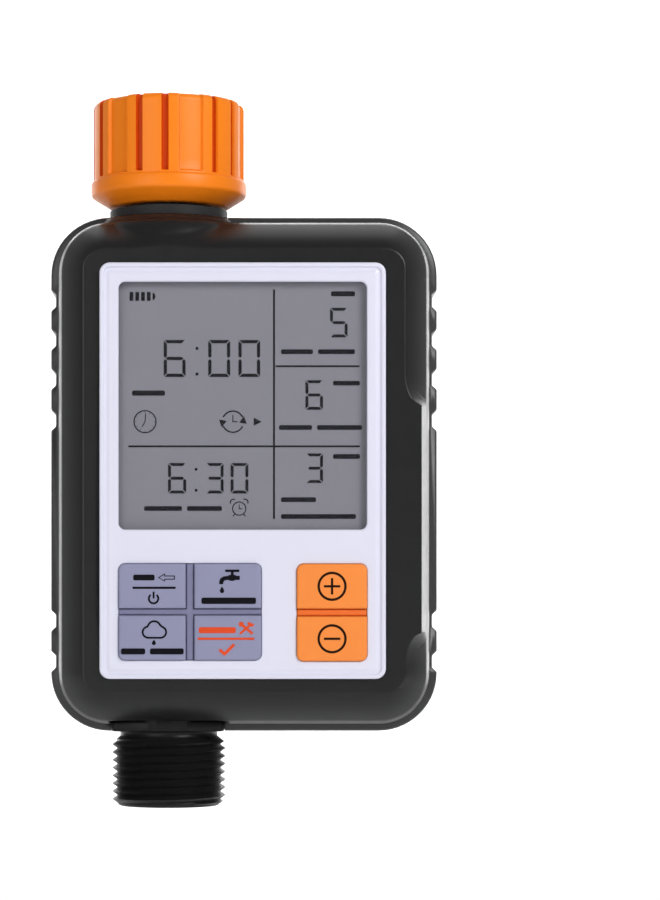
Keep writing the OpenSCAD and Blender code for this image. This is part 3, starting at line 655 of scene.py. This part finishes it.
helical(b, NN, Z_T0, Z_T1, nut_r)
inner = [(12.45, 0.0), (12.45, -4.7), (12.2, -5.0), (10.9, -5.0), (10.4, -5.3), (10.4, n_lo[2])]
b.strip([lathe_ring(A, r, z) for r, z in inner])
nut = b.object("nut", M["nut"], 38.0)
# faces inside the grooves take the darker orange as painted shade
nut.data.materials.append(M["nut_groove"])
for p_ in nut.data.polygons:
    c = p_.center * 1000.0
    if -3.6 < c.z < ZN - 0.02:
        deg = math.degrees(math.atan2(c.y, c.x))
        for q in (20.0, 40.0):
            d = (deg + 71.4 - q) % 60.0
            d = d - 60 if d > 30 else d
            if abs(d) < 2.45 and math.hypot(c.x, c.y) > 14.0:
                p_.material_index = 1
finish_piece(nut, "swivel_nut", "nut", ("inlet_nut",))

# ---------------------------------------------------------------- outlet with its helical thread
v_lo, v_hi = nb("valve_body")
ZE = v_lo[2]
valve = cad_copy("valve_body")
cut = bpy.data.meshes.new("cut")
bm = bmesh.new()
bmesh.ops.create_cube(bm, size=1.0)
z1, z0 = ZB + 2.9, ZE - 5
for v in bm.verts:
    v.co.x *= 0.08
    v.co.y *= 0.08
    v.co.z = (z0 if v.co.z < 0 else z1) * MM
bm.to_mesh(cut)
bm.free()
cutter = new_object("cutter", cut)
boolean(valve, cutter, "DIFFERENCE")
b = Build()
NV = 432
A = column_dirs(NV)
Z1 = z1 + 0.6
b.strip([lathe_ring(A, r, z) for r, z in ((7.56, Z1), (11.9, Z1), (11.9, ZB + 0.35), (11.8, ZB + 0.08), (11.6, ZB - 0.03),
                                          (11.35, ZB - 0.1), (11.3, ZB - 0.3), (11.3, -132.75))])


def out_r(z, ph):
    t = np.abs(ph * 2 - 1)
    t = np.abs(((ph + 0.375) % 1.0) * 2 - 1)
    r = 12.0 + 1.18 * np.clip((0.92 - t) / 0.86, 0, 1)
    low = 11.75 + (z - ZE - 0.35) * 1.3
    top = 11.3 + (-132.75 - z) * 1.25
    return np.minimum(np.minimum(r, low), np.maximum(top, 11.3))


helical(b, NV, ZE + 0.35, -132.75, out_r)
b.strip([lathe_ring(A, r, z) for r, z in ((11.75, ZE + 0.35), (11.6, ZE + 0.12), (11.3, ZE), (8.3, ZE), (7.9, ZE + 0.12), (7.56, ZE + 0.5), (7.56, Z1))])
thread = b.object("thread", M["valve"], 40.0)
boolean(valve, thread, "UNION")
# squared collar that fills the notch in the covers, corners and edges rounded
b = Build()
rs = []
for d, z in ((0.7, ZB + 0.03), (0.32, ZB + 0.10), (0.1, ZB + 0.28), (0.0, ZB + 0.6), (0.0, ZB + 1.9), (0.12, ZB + 2.2), (0.4, ZB + 2.4),
             (0.9, ZB + 2.44)):
    c = rr(0.0, -3.6, 25.96 - 2 * d, 14.9 - 2 * d, 1.3)
    rs.append(np.column_stack([c[:, 0], c[:, 1], np.full(len(c), z)]))
b.strip(rs)
b.cap(rs[0])
b.cap(rs[-1])
boolean(valve, b.object("collar", M["valve"], 40.0), "UNION")
clean(valve.data, 38.0, 1e-6, False)
paint(valve, M["valve"])
finish_piece(valve, "valve_and_outlet", "root", ("valve_body",))

# ---------------------------------------------------------------- white panel
p_lo, p_hi = nb("fascia_panel")
w_lo, w_hi = nb("lcd_window")
PCX, PCZ = (p_lo[0] + p_hi[0]) / 2, (p_lo[2] + p_hi[2]) / 2
PW, PH = p_hi[0] - p_lo[0], p_hi[2] - p_lo[2]
YP, YS = p_lo[1], p_hi[1]
LCX, LCZ = (w_lo[0] + w_hi[0]) / 2, (w_lo[2] + w_hi[2]) / 2
LW, LH = w_hi[0] - w_lo[0] - 1.8, w_hi[2] - w_lo[2] - 1.8
Y_LENS = w_lo[1]


def group(names):
    lo = np.min([nb(n)[0] for n in names], axis=0)
    hi = np.max([nb(n)[1] for n in names], axis=0)
    return (lo[0] + hi[0]) / 2, (lo[2] + hi[2]) / 2, hi[0] - lo[0], hi[2] - lo[2]


KG = group(["back_key", "manual_key", "rain_delay_key", "setup_key"])
AG = group(["plus_key", "minus_key"])
b = Build()


def pring(inset, y, r=2.4):
    return at_y(rr(PCX, PCZ, PW - 2 * inset, PH - 2 * inset, max(0.4, r - inset)), y)


rings = [pring(0.03, YS), pring(0.03, YP + 0.45)]
for j in range(1, 5):
    a = math.radians(90 * j / 4)
    rings.append(pring(0.03 + 0.42 * (1 - math.cos(a)), YP + 0.45 - 0.44 * math.sin(a)))
rings += [pring(0.80, YP + 0.01), pring(0.92, YP + 0.05), pring(1.05, YP + 0.34), pring(1.18, YP + 0.52), pring(1.35, YP + 0.58),
          pring(1.70, YP + 0.50), pring(2.1, YP + 0.24), pring(2.35, YP + 0.14), pring(2.6, YP + 0.12), pring(3.0, YP + 0.12)]
b.strip(rings)
Y_FIELD = YP + 0.12
holes, backs = [], []


def opening(cx, cz, w_, h_, r, steps):
    """Rings from the field down an opening: steps of (grow, y)."""
    rs = [at_y(rr(cx, cz, w_ + 2 * g, h_ + 2 * g, max(0.3, r + g)), y) for g, y in steps]
    b.strip(rs)
    holes.append(rs[0])
    backs.append(rs[-1])


def lip(yb, g0=0.55):
    out = [(g0 + 0.35, Y_FIELD), (g0, Y_FIELD)]
    for j in range(1, 5):
        a = math.radians(90 * j / 4)
        out.append((g0 - g0 * math.sin(a) * 0.98, Y_FIELD + min(0.42, 1.2 * g0) * (1 - math.cos(a))))
    return out


opening(LCX, LCZ, LW, LH, 1.5, lip(0) + [(0.01, Y_LENS), (1.0, Y_LENS), (1.0, YS)])
opening(KG[0], KG[1], KG[2] + 0.14, KG[3] + 0.14, 1.5, lip(0, 0.16) + [(0.0, YS)])
opening(AG[0], AG[1], AG[2] + 0.14, AG[3] + 0.14, 1.6, lip(0, 0.16) + [(0.0, YS)])
b.fill([rings[-1]] + holes)
b.fill([rings[0]] + backs)
panel = b.object("panel", M["panel"], 40.0)
finish_piece(panel, "display_panel", "root", ("fascia_panel",))


# ---------------------------------------------------------------- keys
def key_mesh(node, name, body, mat, r):
    lo, hi = nb(node)
    cx, cz = (lo[0] + hi[0]) / 2, (lo[2] + hi[2]) / 2
    w_, h_ = hi[0] - lo[0], hi[2] - lo[2]
    yt, yb = lo[1], -20.4

    def ring(d, y, q=1.0):
        return at_y(rr(cx, cz, w_ - 2 * d, h_ - 2 * d, [max(0.22, v - q * d) for v in r]), y)
    kb = Build()
    rs = [ring(0.0, yb), ring(0.0, yt + 0.62)]
    for j in range(1, 6):
        a = math.radians(90 * j / 5)
        d = 0.5 * (1 - math.cos(a))
        rs.append(ring(d, yt + 0.62 - 0.46 * math.sin(a)))
    for d, y in ((0.8, 0.125), (1.3, 0.09), (2.2, 0.055), (3.4, 0.036)):
        rs.append(ring(d, yt + y, 0.3))
    kb.strip(rs)
    kb.cap(rs[-1])
    circ = np.array([(cx + 2.2 * math.cos(t), cz + 2.2 * math.sin(t)) for t in 2 * math.pi * np.arange(36) / 36])
    cs = [at_y(circ, yb), at_y(circ, hi[1])]
    kb.strip(cs)
    kb.cap(cs[-1])
    kb.fill([rs[0], cs[0]])
    o = kb.object(name, mat, 40.0)
    return finish_piece(o, name, body, (node,)), (cx, cz, yt)


keys = {}
Q, q_ = 1.4, 0.3
for node, body, r4 in (("back_key", "back_button", (q_, q_, Q, q_)), ("manual_key", "manual_button", (q_, Q, q_, q_)),
                       ("rain_delay_key", "rain_delay_button", (q_, q_, q_, Q)), ("setup_key", "setup_button", (Q, q_, q_, q_))):
    o, c = key_mesh(node, node + "_cap", body, M["grey_key"], r4)
    keys[node] = (c, body)
for node, body, r4 in (("plus_key", "plus_button", (q_, 1.5, 1.5, q_)), ("minus_key", "minus_button", (1.5, q_, q_, 1.5))):
    o, c = key_mesh(node, node + "_cap", body, M["orange_key"], r4)
    keys[node] = (c, body)

# silicone mats with the raised web that stands between the keys; the mats are painted darker than the keys, painted
# shade in the gaps
Y_WEB = YP + 0.15


def web(node, name, mat, bars):
    o = cad_copy(node)
    for x0, x1, z0_, z1_ in bars:
        wb = Build()
        cx_, cz_, w2, h2 = (x0 + x1) / 2, (z0_ + z1_) / 2, x1 - x0, z1_ - z0_
        rs = [at_y(rr(cx_, cz_, w2 - 2 * d, h2 - 2 * d, max(0.1, 0.25 - d), 4), y)
              for d, y in ((0.0, -20.7), (0.0, Y_WEB + 0.35), (0.06, Y_WEB + 0.12), (0.2, Y_WEB + 0.02), (0.35, Y_WEB))]
        wb.strip(rs)
        wb.cap(rs[0])
        wb.cap(rs[-1])
        boolean(o, wb.object("web", mat, 40.0), "UNION")
    clean(o.data, 40.0, 1e-6, False)
    paint(o, mat)
    finish_piece(o, name, "root", (node,))


GAPX, GAPZ, GAPA, CL = 1.9, 1.55, 1.7, 0.12
web("keypad_mat", "keypad_mat_web", M["grey_silicone"],
    [(KG[0] - GAPX / 2 + CL, KG[0] + GAPX / 2 - CL, KG[1] - KG[3] / 2 + 0.05, KG[1] + KG[3] / 2 - 0.05),
     (KG[0] - KG[2] / 2 + 0.05, KG[0] + KG[2] / 2 - 0.05, KG[1] - GAPZ / 2 + CL, KG[1] + GAPZ / 2 - CL)])
web("adjust_key_mat", "adjust_mat_web", M["orange_silicone"],
    [(AG[0] - AG[2] / 2 + 0.05, AG[0] + AG[2] / 2 - 0.05, AG[1] - GAPA / 2 + CL, AG[1] + GAPA / 2 - CL)])


# ---------------------------------------------------------------- printed marks, as thin raised ink
CAM_Y, F = 650.0, 2790.5


def px(x, y, depth):
    """Position in X and Z of a point of the front view at a given depth."""
    k = (CAM_Y + depth) / F
    return 17.5 + (x - 244.0) * k, -107.0 - (y - 625.0) * k


class Ink:
    """Flat prisms between two depths, laid out in front-view coordinates."""

    def __init__(self, depth, y_out, y_in):
        self.d, self.yo, self.yi = depth, y_out, y_in
        self.n, self.step = 0, 0.0
        self.b = Build()

    def pt(self, p):
        return px(p[0], p[1], self.d)

    def poly(self, pts):
        q = np.array([self.pt(p) for p in pts])
        area = 0.5 * np.sum(q[:, 0] * np.roll(q[:, 1], -1) - np.roll(q[:, 0], -1) * q[:, 1])
        if area < 0:
            q = q[::-1]
        self.n += 1                   # overlapping marks keep their faces apart
        o_, i_ = at_y(q, self.yo + self.step * self.n), at_y(q, self.yi)
        self.b.strip([i_, o_])
        self.b.cap(o_)
        self.b.cap(i_[::-1])

    def rect(self, x0, y0, x1, y1):
        self.poly([(x0, y0), (x1, y0), (x1, y1), (x0, y1)])

    def bar(self, x0, y0, x1, y1, wd):
        """A stroke from one point to another with square ends."""
        dx, dy = x1 - x0, y1 - y0
        L = math.hypot(dx, dy)
        nx, ny = -dy / L * wd / 2, dx / L * wd / 2
        self.poly([(x0 + nx, y0 + ny), (x1 + nx, y1 + ny), (x1 - nx, y1 - ny), (x0 - nx, y0 - ny)])

    def pill(self, x0, y0, x1, y1, r=None, k=5):
        r = min(abs(y1 - y0), abs(x1 - x0)) / 2 if r is None else r
        pts = []
        for cx, cy, a0 in ((x1 - r, y1 - r, 0), (x0 + r, y1 - r, 90), (x0 + r, y0 + r, 180), (x1 - r, y0 + r, 270)):
            for j in range(k + 1):
                a = math.radians(a0 + 90 * j / k)
                pts.append((cx + r * math.cos(a), cy + r * math.sin(a)))
        self.poly(pts)

    def disc(self, x, y, r, n=28):
        self.poly([(x + r * math.cos(2 * math.pi * j / n), y + r * math.sin(2 * math.pi * j / n)) for j in range(n)])

    def arc(self, x, y, r, wd, a0=0.0, a1=360.0, n=48):
        """Ring or part of one. Angles go clockwise from the right, in the front view."""
        full = abs(a1 - a0) >= 359.9
        n = max(6, int(n * abs(a1 - a0) / 360))
        rin, rout = r - wd / 2, r + wd / 2
        ang = [math.radians(a0 + (a1 - a0) * j / n) for j in range(n if full else n + 1)]
        O = np.array([self.pt((x + rout * math.cos(t), y + rout * math.sin(t))) for t in ang])
        I = np.array([self.pt((x + rin * math.cos(t), y + rin * math.sin(t))) for t in ang])
        rs = [at_y(O, self.yo), at_y(I, self.yo), at_y(I, self.yi), at_y(O, self.yi), at_y(O, self.yo)]
        self.b.strip(rs, closed=full)
        if not full:
            for e in (0, -1):
                self.b.cap(np.array([rs[0][e], rs[1][e], rs[2][e], rs[3][e]]))

    def path(self, pts, wd):
        """A bent stroke with mitred corners."""
        p = np.array(pts, float)
        L, Rr = [], []
        for j in range(len(p)):
            d0 = p[j] - p[j - 1] if j else p[1] - p[0]
            d1 = p[j + 1] - p[j] if j < len(p) - 1 else d0
            d0, d1 = d0 / np.linalg.norm(d0), d1 / np.linalg.norm(d1)
            n0, n1 = np.array([-d0[1], d0[0]]), np.array([-d1[1], d1[0]])
            m_ = (n0 + n1) / 2
            m_ = m_ / max(0.35, float(m_ @ m_))
            L.append(p[j] + m_ * wd / 2)
            Rr.append(p[j] - m_ * wd / 2)
        self.poly(L + Rr[::-1])

    def digit(self, d, x0, y0, x1, y1, wd):
        """Seven-segment figure."""
        segs = {0: "abcdef", 1: "bc", 2: "abged", 3: "abgcd", 4: "fgbc", 5: "afgcd", 6: "afgedc", 7: "abc", 8: "abcdefg", 9: "abcdfg"}[d]
        ym = (y0 + y1) / 2
        g = 0.55
        h = wd / 2

        def hs(y, up):
            if up == 0:
                self.poly([(x0 + g + h, y), (x0 + g + 2 * h, y - h), (x1 - g - 2 * h, y - h), (x1 - g - h, y), (x1 - g - 2 * h, y + h), (x0 + g + 2 * h, y + h)])
            elif up > 0:
                self.poly([(x0 + g + 0.3, y - h), (x1 - g - 0.3, y - h), (x1 - g - wd, y + h), (x0 + g + wd, y + h)])
            else:
                self.poly([(x0 + g + wd, y - h), (x1 - g - wd, y - h), (x1 - g - 0.3, y + h), (x0 + g + 0.3, y + h)])

        def vs(left, ya, yb, top):
            x = x0 + h if left else x1 - h
            i = x + h if left else x - h
            o_ = x - h if left else x + h
            if top:
                self.poly([(o_, ya + g + 0.3), (i, ya + g + wd), (i, yb - g - h), (x, yb - g), (o_, yb - g - h)])
            else:
                self.poly([(o_, ya + g + h), (x, ya + g), (i, ya + g + h), (i, yb - g - wd), (o_, yb - g - 0.3)])
        if "a" in segs:
            hs(y0 + h, 1)
        if "g" in segs:
            hs(ym, 0)
        if "d" in segs:
            hs(y1 - h, -1)
        if "f" in segs:
            vs(True, y0, ym, True)
        if "b" in segs:
            vs(False, y0, ym, True)
        if "e" in segs:
            vs(True, ym, y1, False)
        if "c" in segs:
            vs(False, ym, y1, False)

    def object(self, name, mat, body, slot=None):
        o = self.b.object(name, mat, 30.0)
        return finish_piece(o, name, body)


g_lo, g_hi = nb("lcd_glass")
YG = g_lo[1]
GY = YG
k = Ink(GY, YG - 0.035, YG + 0.01)
# rules between the fields
k.rect(128.4, 445.4, 359.9, 447.3)
k.rect(273.0, 289.5, 275.0, 519.0)
k.rect(275.7, 365.3, 359.4, 367.2)
k.object("display_rules", M["ink"], "root", "display")
k = Ink(GY, YG - 0.035, YG + 0.01)
k.digit(6, 163.7, 340, 185.6, 377, 3.3)
k.digit(0, 208.2, 340, 230.2, 377, 3.3)
k.digit(0, 238.4, 340, 260.2, 377, 3.3)
k.rect(195.6, 347.0, 198.4, 349.8)
k.rect(195.6, 372.6, 198.4, 375.4)
k.digit(5, 330.0, 307.8, 347.6, 337.4, 3.0)
k.digit(6, 305.4, 380.2, 323.0, 409.8, 3.0)
k.digit(6, 168.0, 463.0, 186.2, 493.5, 3.0)
k.digit(3, 206.0, 463.0, 223.6, 493.5, 3.0)
k.digit(0, 230.6, 463.0, 248.4, 493.5, 3.0)
k.rect(194.8, 468.0, 197.4, 470.6)
k.rect(194.8, 489.0, 197.4, 491.6)
k.digit(3, 306.0, 453.4, 323.0, 483.0, 3.0)
k.object("display_figures", M["ink"], "root", "display")
k = Ink(GY, YG - 0.035, YG + 0.01)
# battery gauge
for j in range(4):
    k.rect(129.6 + j * 5.75, 292.0, 133.4 + j * 5.75, 300.8)
k.poly([(152.6, 292.6), (154.2, 293.2), (155.8, 296.4), (154.2, 299.6), (152.6, 300.2)])
# clock
k.arc(145.0, 421.7, 11.0, 1.2)
k.bar(145.0, 421.7, 145.6, 413.6, 1.0)
k.bar(145.0, 421.7, 142.0, 427.0, 1.0)
for j in range(12):
    t = math.radians(30 * j)
    k.bar(145 + 8.6 * math.cos(t), 421.7 + 8.6 * math.sin(t), 145 + 10.0 * math.cos(t), 421.7 + 10.0 * math.sin(t), 0.6)
# repeating clock with arrowheads
k.arc(232.9, 421.7, 10.6, 1.5, 205, 335)
k.arc(232.9, 421.7, 10.6, 1.5, 25, 155)
k.poly([(219.0, 419.5), (226.6, 420.8), (221.8, 427.6)])
k.poly([(246.8, 424.0), (239.2, 422.6), (244.0, 415.8)])
k.bar(232.9, 422.2, 232.9, 415.0, 1.1)
k.bar(232.4, 421.7, 237.6, 421.7, 1.1)
k.poly([(253.7, 417.6), (261.8, 421.7), (253.7, 425.8)])
# alarm clock
k.arc(239.2, 508.6, 6.6, 1.1)
k.bar(239.2, 509.0, 239.2, 504.6, 0.9)
k.bar(239.2, 508.8, 242.4, 508.8, 0.9)
k.arc(233.4, 502.2, 3.0, 1.2, 150, 300)
k.arc(245.0, 502.2, 3.0, 1.2, 240, 390)
k.bar(234.6, 514.2, 232.8, 516.4, 1.1)
k.bar(243.8, 514.2, 245.6, 516.4, 1.1)
k.object("display_symbols", M["ink"], "root", "display")
k = Ink(GY, YG - 0.035, YG + 0.01)
# plain bars where the display carries words
for x0, y0_, x1, y1_ in ((132, 389.6, 165, 396.6), (331, 290.4, 355, 297.2), (281, 348.4, 313, 355.0), (318, 348.4, 355, 355.0),
                         (333, 380.0, 360, 386.4), (279, 424.2, 312, 430.8), (317, 424.2, 362, 430.8), (333, 453.2, 360, 459.8),
                         (281, 496.4, 316, 503.0), (281, 513.2, 356, 519.8), (144, 505.2, 182, 511.8), (187, 505.2, 222, 511.8)):
    k.pill(x0, y0_ + 0.9, x1, y1_ - 0.9, 1.6)
k.object("display_labels", M["ink"], "root", "display")


def key_ink(node):
    (cx, cz, yt), body = keys[node]
    return Ink(yt, yt, yt + 0.25), body


# back and off key: a bar and a hollow arrow above a rule, power symbol below
k, body = key_ink("back_key")
k.pill(133.2, 574.6, 154.6, 580.4, 1.6)
arrow = [(158.6, 577.6), (164.6, 574.0), (164.6, 576.0), (174.4, 576.0), (174.4, 579.2), (164.6, 579.2), (164.6, 581.2)]
k.path(arrow + [arrow[0], arrow[1]], 0.9)
k.rect(132.5, 586.7, 175.6, 588.9)
k.arc(153.6, 598.6, 4.7, 1.9, -52, 232)
k.bar(153.6, 591.6, 153.6, 598.4, 1.9)
k.object("back_key_print", M["key_ink"], body, "grey_key")
# manual key: tap with a drop, and a bar
k, body = key_ink("manual_key")
k.step = 0.002
k.rect(225.3, 569.6, 239.3, 572.0)
k.rect(230.9, 572.0, 233.7, 575.0)
k.poly([(239.8, 575.8), (236.4, 575.8), (235.0, 574.9), (229.4, 574.9), (227.8, 575.9), (223.6, 576.4), (220.6, 578.2), (219.3, 581.0),
        (219.1, 584.2), (223.1, 584.2), (223.4, 582.2), (224.6, 580.6), (226.6, 580.0), (228.6, 580.2), (230.6, 580.9), (233.6, 580.9),
        (235.6, 580.0), (239.8, 579.9)])
k.poly([(222.0, 586.2), (223.7, 589.2), (224.3, 591.0), (223.5, 592.7), (222.0, 593.3), (220.5, 592.7), (219.7, 591.0), (220.3, 589.2)])
k.pill(201.5, 597.6, 256.0, 603.9, 1.8)
k.object("manual_key_print", M["key_ink"], body, "grey_key")
# rain delay key: cloud with a drop, and two bars
k, body = key_ink("rain_delay_key")
cloud = []
for cx_, cy_, r_, a0, a1 in ((148.2, 632.2, 5.6, 90, 262), (154.2, 627.6, 6.4, 205, 335), (160.6, 632.2, 5.6, 285, 450)):
    for j in range(9):
        a = math.radians(a0 + (a1 - a0) * j / 8)
        cloud.append((cx_ + r_ * math.cos(a), cy_ + r_ * math.sin(a)))
k.path(cloud + [cloud[0], cloud[1]], 1.9)
k.poly([(153.9, 639.6), (155.6, 642.0), (156.0, 643.6), (155.2, 644.8), (153.9, 645.2), (152.6, 644.8), (151.8, 643.6), (152.2, 642.0)])
k.pill(121.0, 648.4, 145.2, 654.4, 1.8)
k.pill(150.0, 648.4, 183.6, 654.4, 1.8)
k.object("rain_delay_key_print", M["key_ink"], body, "grey_key")
# set-up key: crossed tools above a rule, tick below
k, body = key_ink("setup_key")
k.step = 0.002
k.pill(198.8, 627.2, 235.8, 633.2, 1.8)
k.bar(240.6, 623.6, 252.6, 633.8, 2.6)
k.bar(251.6, 623.8, 240.0, 633.8, 2.4)
k.disc(241.2, 624.2, 2.5)
k.poly([(248.6, 621.8), (254.4, 624.6), (252.4, 627.0), (247.0, 623.8)])
k.rect(197.8, 637.6, 254.2, 639.9)
k.path([(219.4, 649.6), (224.6, 654.0), (234.2, 644.4)], 3.0)
k.object("setup_key_print", M["red_ink"], body, "grey_key")
for node, sy in (("plus_key", 586.8), ("minus_key", 638.2)):
    (cx, cz, yt), body = keys[node]
    k = Ink(yt, yt, yt + 0.25)
    kk = (CAM_Y + yt) / F
    ux, uy = 244.0 + (cx - 17.5) / kk, 625.0 - (cz + 107.0) / kk
    k.arc(ux, uy, 13.4, 2.4, n=72)
    k.rect(ux - 8.2, uy - 1.15, ux + 8.2, uy + 1.15)
    if node == "plus_key":
        k.rect(ux - 1.15, uy - 8.2, ux + 1.15, uy - 1.15)
        k.rect(ux - 1.15, uy + 1.15, ux + 1.15, uy + 8.2)
    k.object(node + "_print", M["brown_ink"], body, "orange_key")


# ---------------------------------------------------------------- battery door with softened edges
def soften(node, name, body, mat, width, segs=2, angle=30.0):
    o = cad_copy(node)
    bm = bmesh.new()
    bm.from_mesh(o.data)
    bmesh.ops.dissolve_limit(bm, angle_limit=math.radians(1.0), verts=bm.verts, edges=bm.edges)
    bm.to_mesh(o.data)
    bm.free()
    md = o.modifiers.new("bevel", "BEVEL")
    md.width = width * MM
    md.segments = segs
    md.limit_method = "ANGLE"
    md.angle_limit = math.radians(angle)
    md.use_clamp_overlap = True
    dg = bpy.context.evaluated_depsgraph_get()
    dg.update()
    me = bpy.data.meshes.new_from_object(o.evaluated_get(dg))
    o.modifiers.clear()
    o.data = me
    clean(o.data, 40.0, 1e-6, False)
    paint(o, mat)
    return finish_piece(o, name, body, (node,))


soften("battery_door", "battery_door_cover", "door", M["housing_rear"], 0.28)
soften("door_screw", "door_fastener_head", "door_fastener", M["steel"], 0.18)

# ---------------------------------------------------------------- floor, light and camera
floor_mat = material("floor_paint", (246, 246, 246), rough=0.9, var=0.008, var_scale=3.0, grain=0.05, grain_scale=200, spec=0.1)
me = bpy.data.meshes.new("floor")
FZ = -0.1489 - 0.09
n_arc = 16
pts = []
for j in range(n_arc + 1):
    a = math.radians(90 * j / n_arc)
    pts.append((2.6 + 1.2 * math.sin(a), FZ + 1.2 * (1 - math.cos(a))))
prof = [(-4.0, FZ)] + pts + [(3.8, 5.0)]
vs, fs = [], []
for y, z in prof:
    vs += [(-6.0, y, z), (6.0, y, z)]
for j in range(len(prof) - 1):
    fs.append((2 * j, 2 * j + 1, 2 * j + 3, 2 * j + 2))
me.from_pydata(vs, [], fs)
for p_ in me.polygons:
    p_.use_smooth = True
floor = new_object("floor", me)
floor.data.materials.append(floor_mat)

world = bpy.data.worlds.new("studio")
S.world = world
world.use_nodes = True
bg = world.node_tree.nodes["Background"]
bg.inputs["Color"].default_value = (1.0, 1.0, 1.0, 1)
wt = world.node_tree
wtc = wt.nodes.new("ShaderNodeTexCoord")
wsep = wt.nodes.new("ShaderNodeSeparateXYZ")
wmap = wt.nodes.new("ShaderNodeMapRange")
wmap.interpolation_type = "SMOOTHSTEP"
wmap.inputs["From Min"].default_value = -0.1
wmap.inputs["From Max"].default_value = 0.9
wmap.inputs["To Min"].default_value = 0.22
wmap.inputs["To Max"].default_value = 1.0
wt.links.new(wtc.outputs["Generated"], wsep.inputs["Vector"])
wt.links.new(wsep.outputs["Y"], wmap.inputs["Value"])
wt.links.new(wmap.outputs["Result"], bg.inputs["Strength"])


def area(name, loc, target, size, power, color=(1, 1, 1), size_y=None):
    L = bpy.data.lights.new(name, "AREA")
    L.energy = power
    L.color = color
    L.size = size
    if size_y:
        L.shape = "RECTANGLE"
        L.size_y = size_y
    o = bpy.data.objects.new(name, L)
    S.collection.objects.link(o)
    o.location = loc
    d = Vector(target) - Vector(loc)
    o.rotation_euler = d.to_track_quat("-Z", "Y").to_euler()
    return o


MID = (0.0175, 0.0, -0.07)
area("top_softbox", (0.0, 0.60, 0.95), MID, 0.9, 1.5)
area("key_softbox", (0.66, -0.80, 0.46), MID, 0.42, 7.2)
area("fill_softbox", (-0.55, -1.00, 0.10), MID, 0.6, 2.9)
area("rim_right", (0.80, 1.25, -0.05), MID, 0.5, 4.1, size_y=1.0)
area("rim_left", (-0.78, 1.25, -0.05), MID, 0.5, 3.0, size_y=1.0)
area("rim_top", (0.0, 1.9, 0.70), MID, 1.4, 4.4, size_y=0.25)
area("backdrop_light", (0.0, 2.0, 2.4), (0.0, 3.6, 1.2), 2.5, 120.0)

cam = bpy.data.cameras.new("camera")
cam.sensor_fit = "VERTICAL"
cam.sensor_height = 36.0
cam.sensor_width = 36.0
cam.lens = 111.62
cam.shift_x = 0.09556
cam.shift_y = 0.19444
cam.clip_start = 0.01
cam.clip_end = 50.0
co = bpy.data.objects.new("camera", cam)
S.collection.objects.link(co)
co.location = (0.0175, -0.650, -0.107)
co.rotation_euler = (math.radians(90), 0, 0)
S.camera = co
S.view_settings.view_transform = "Standard"
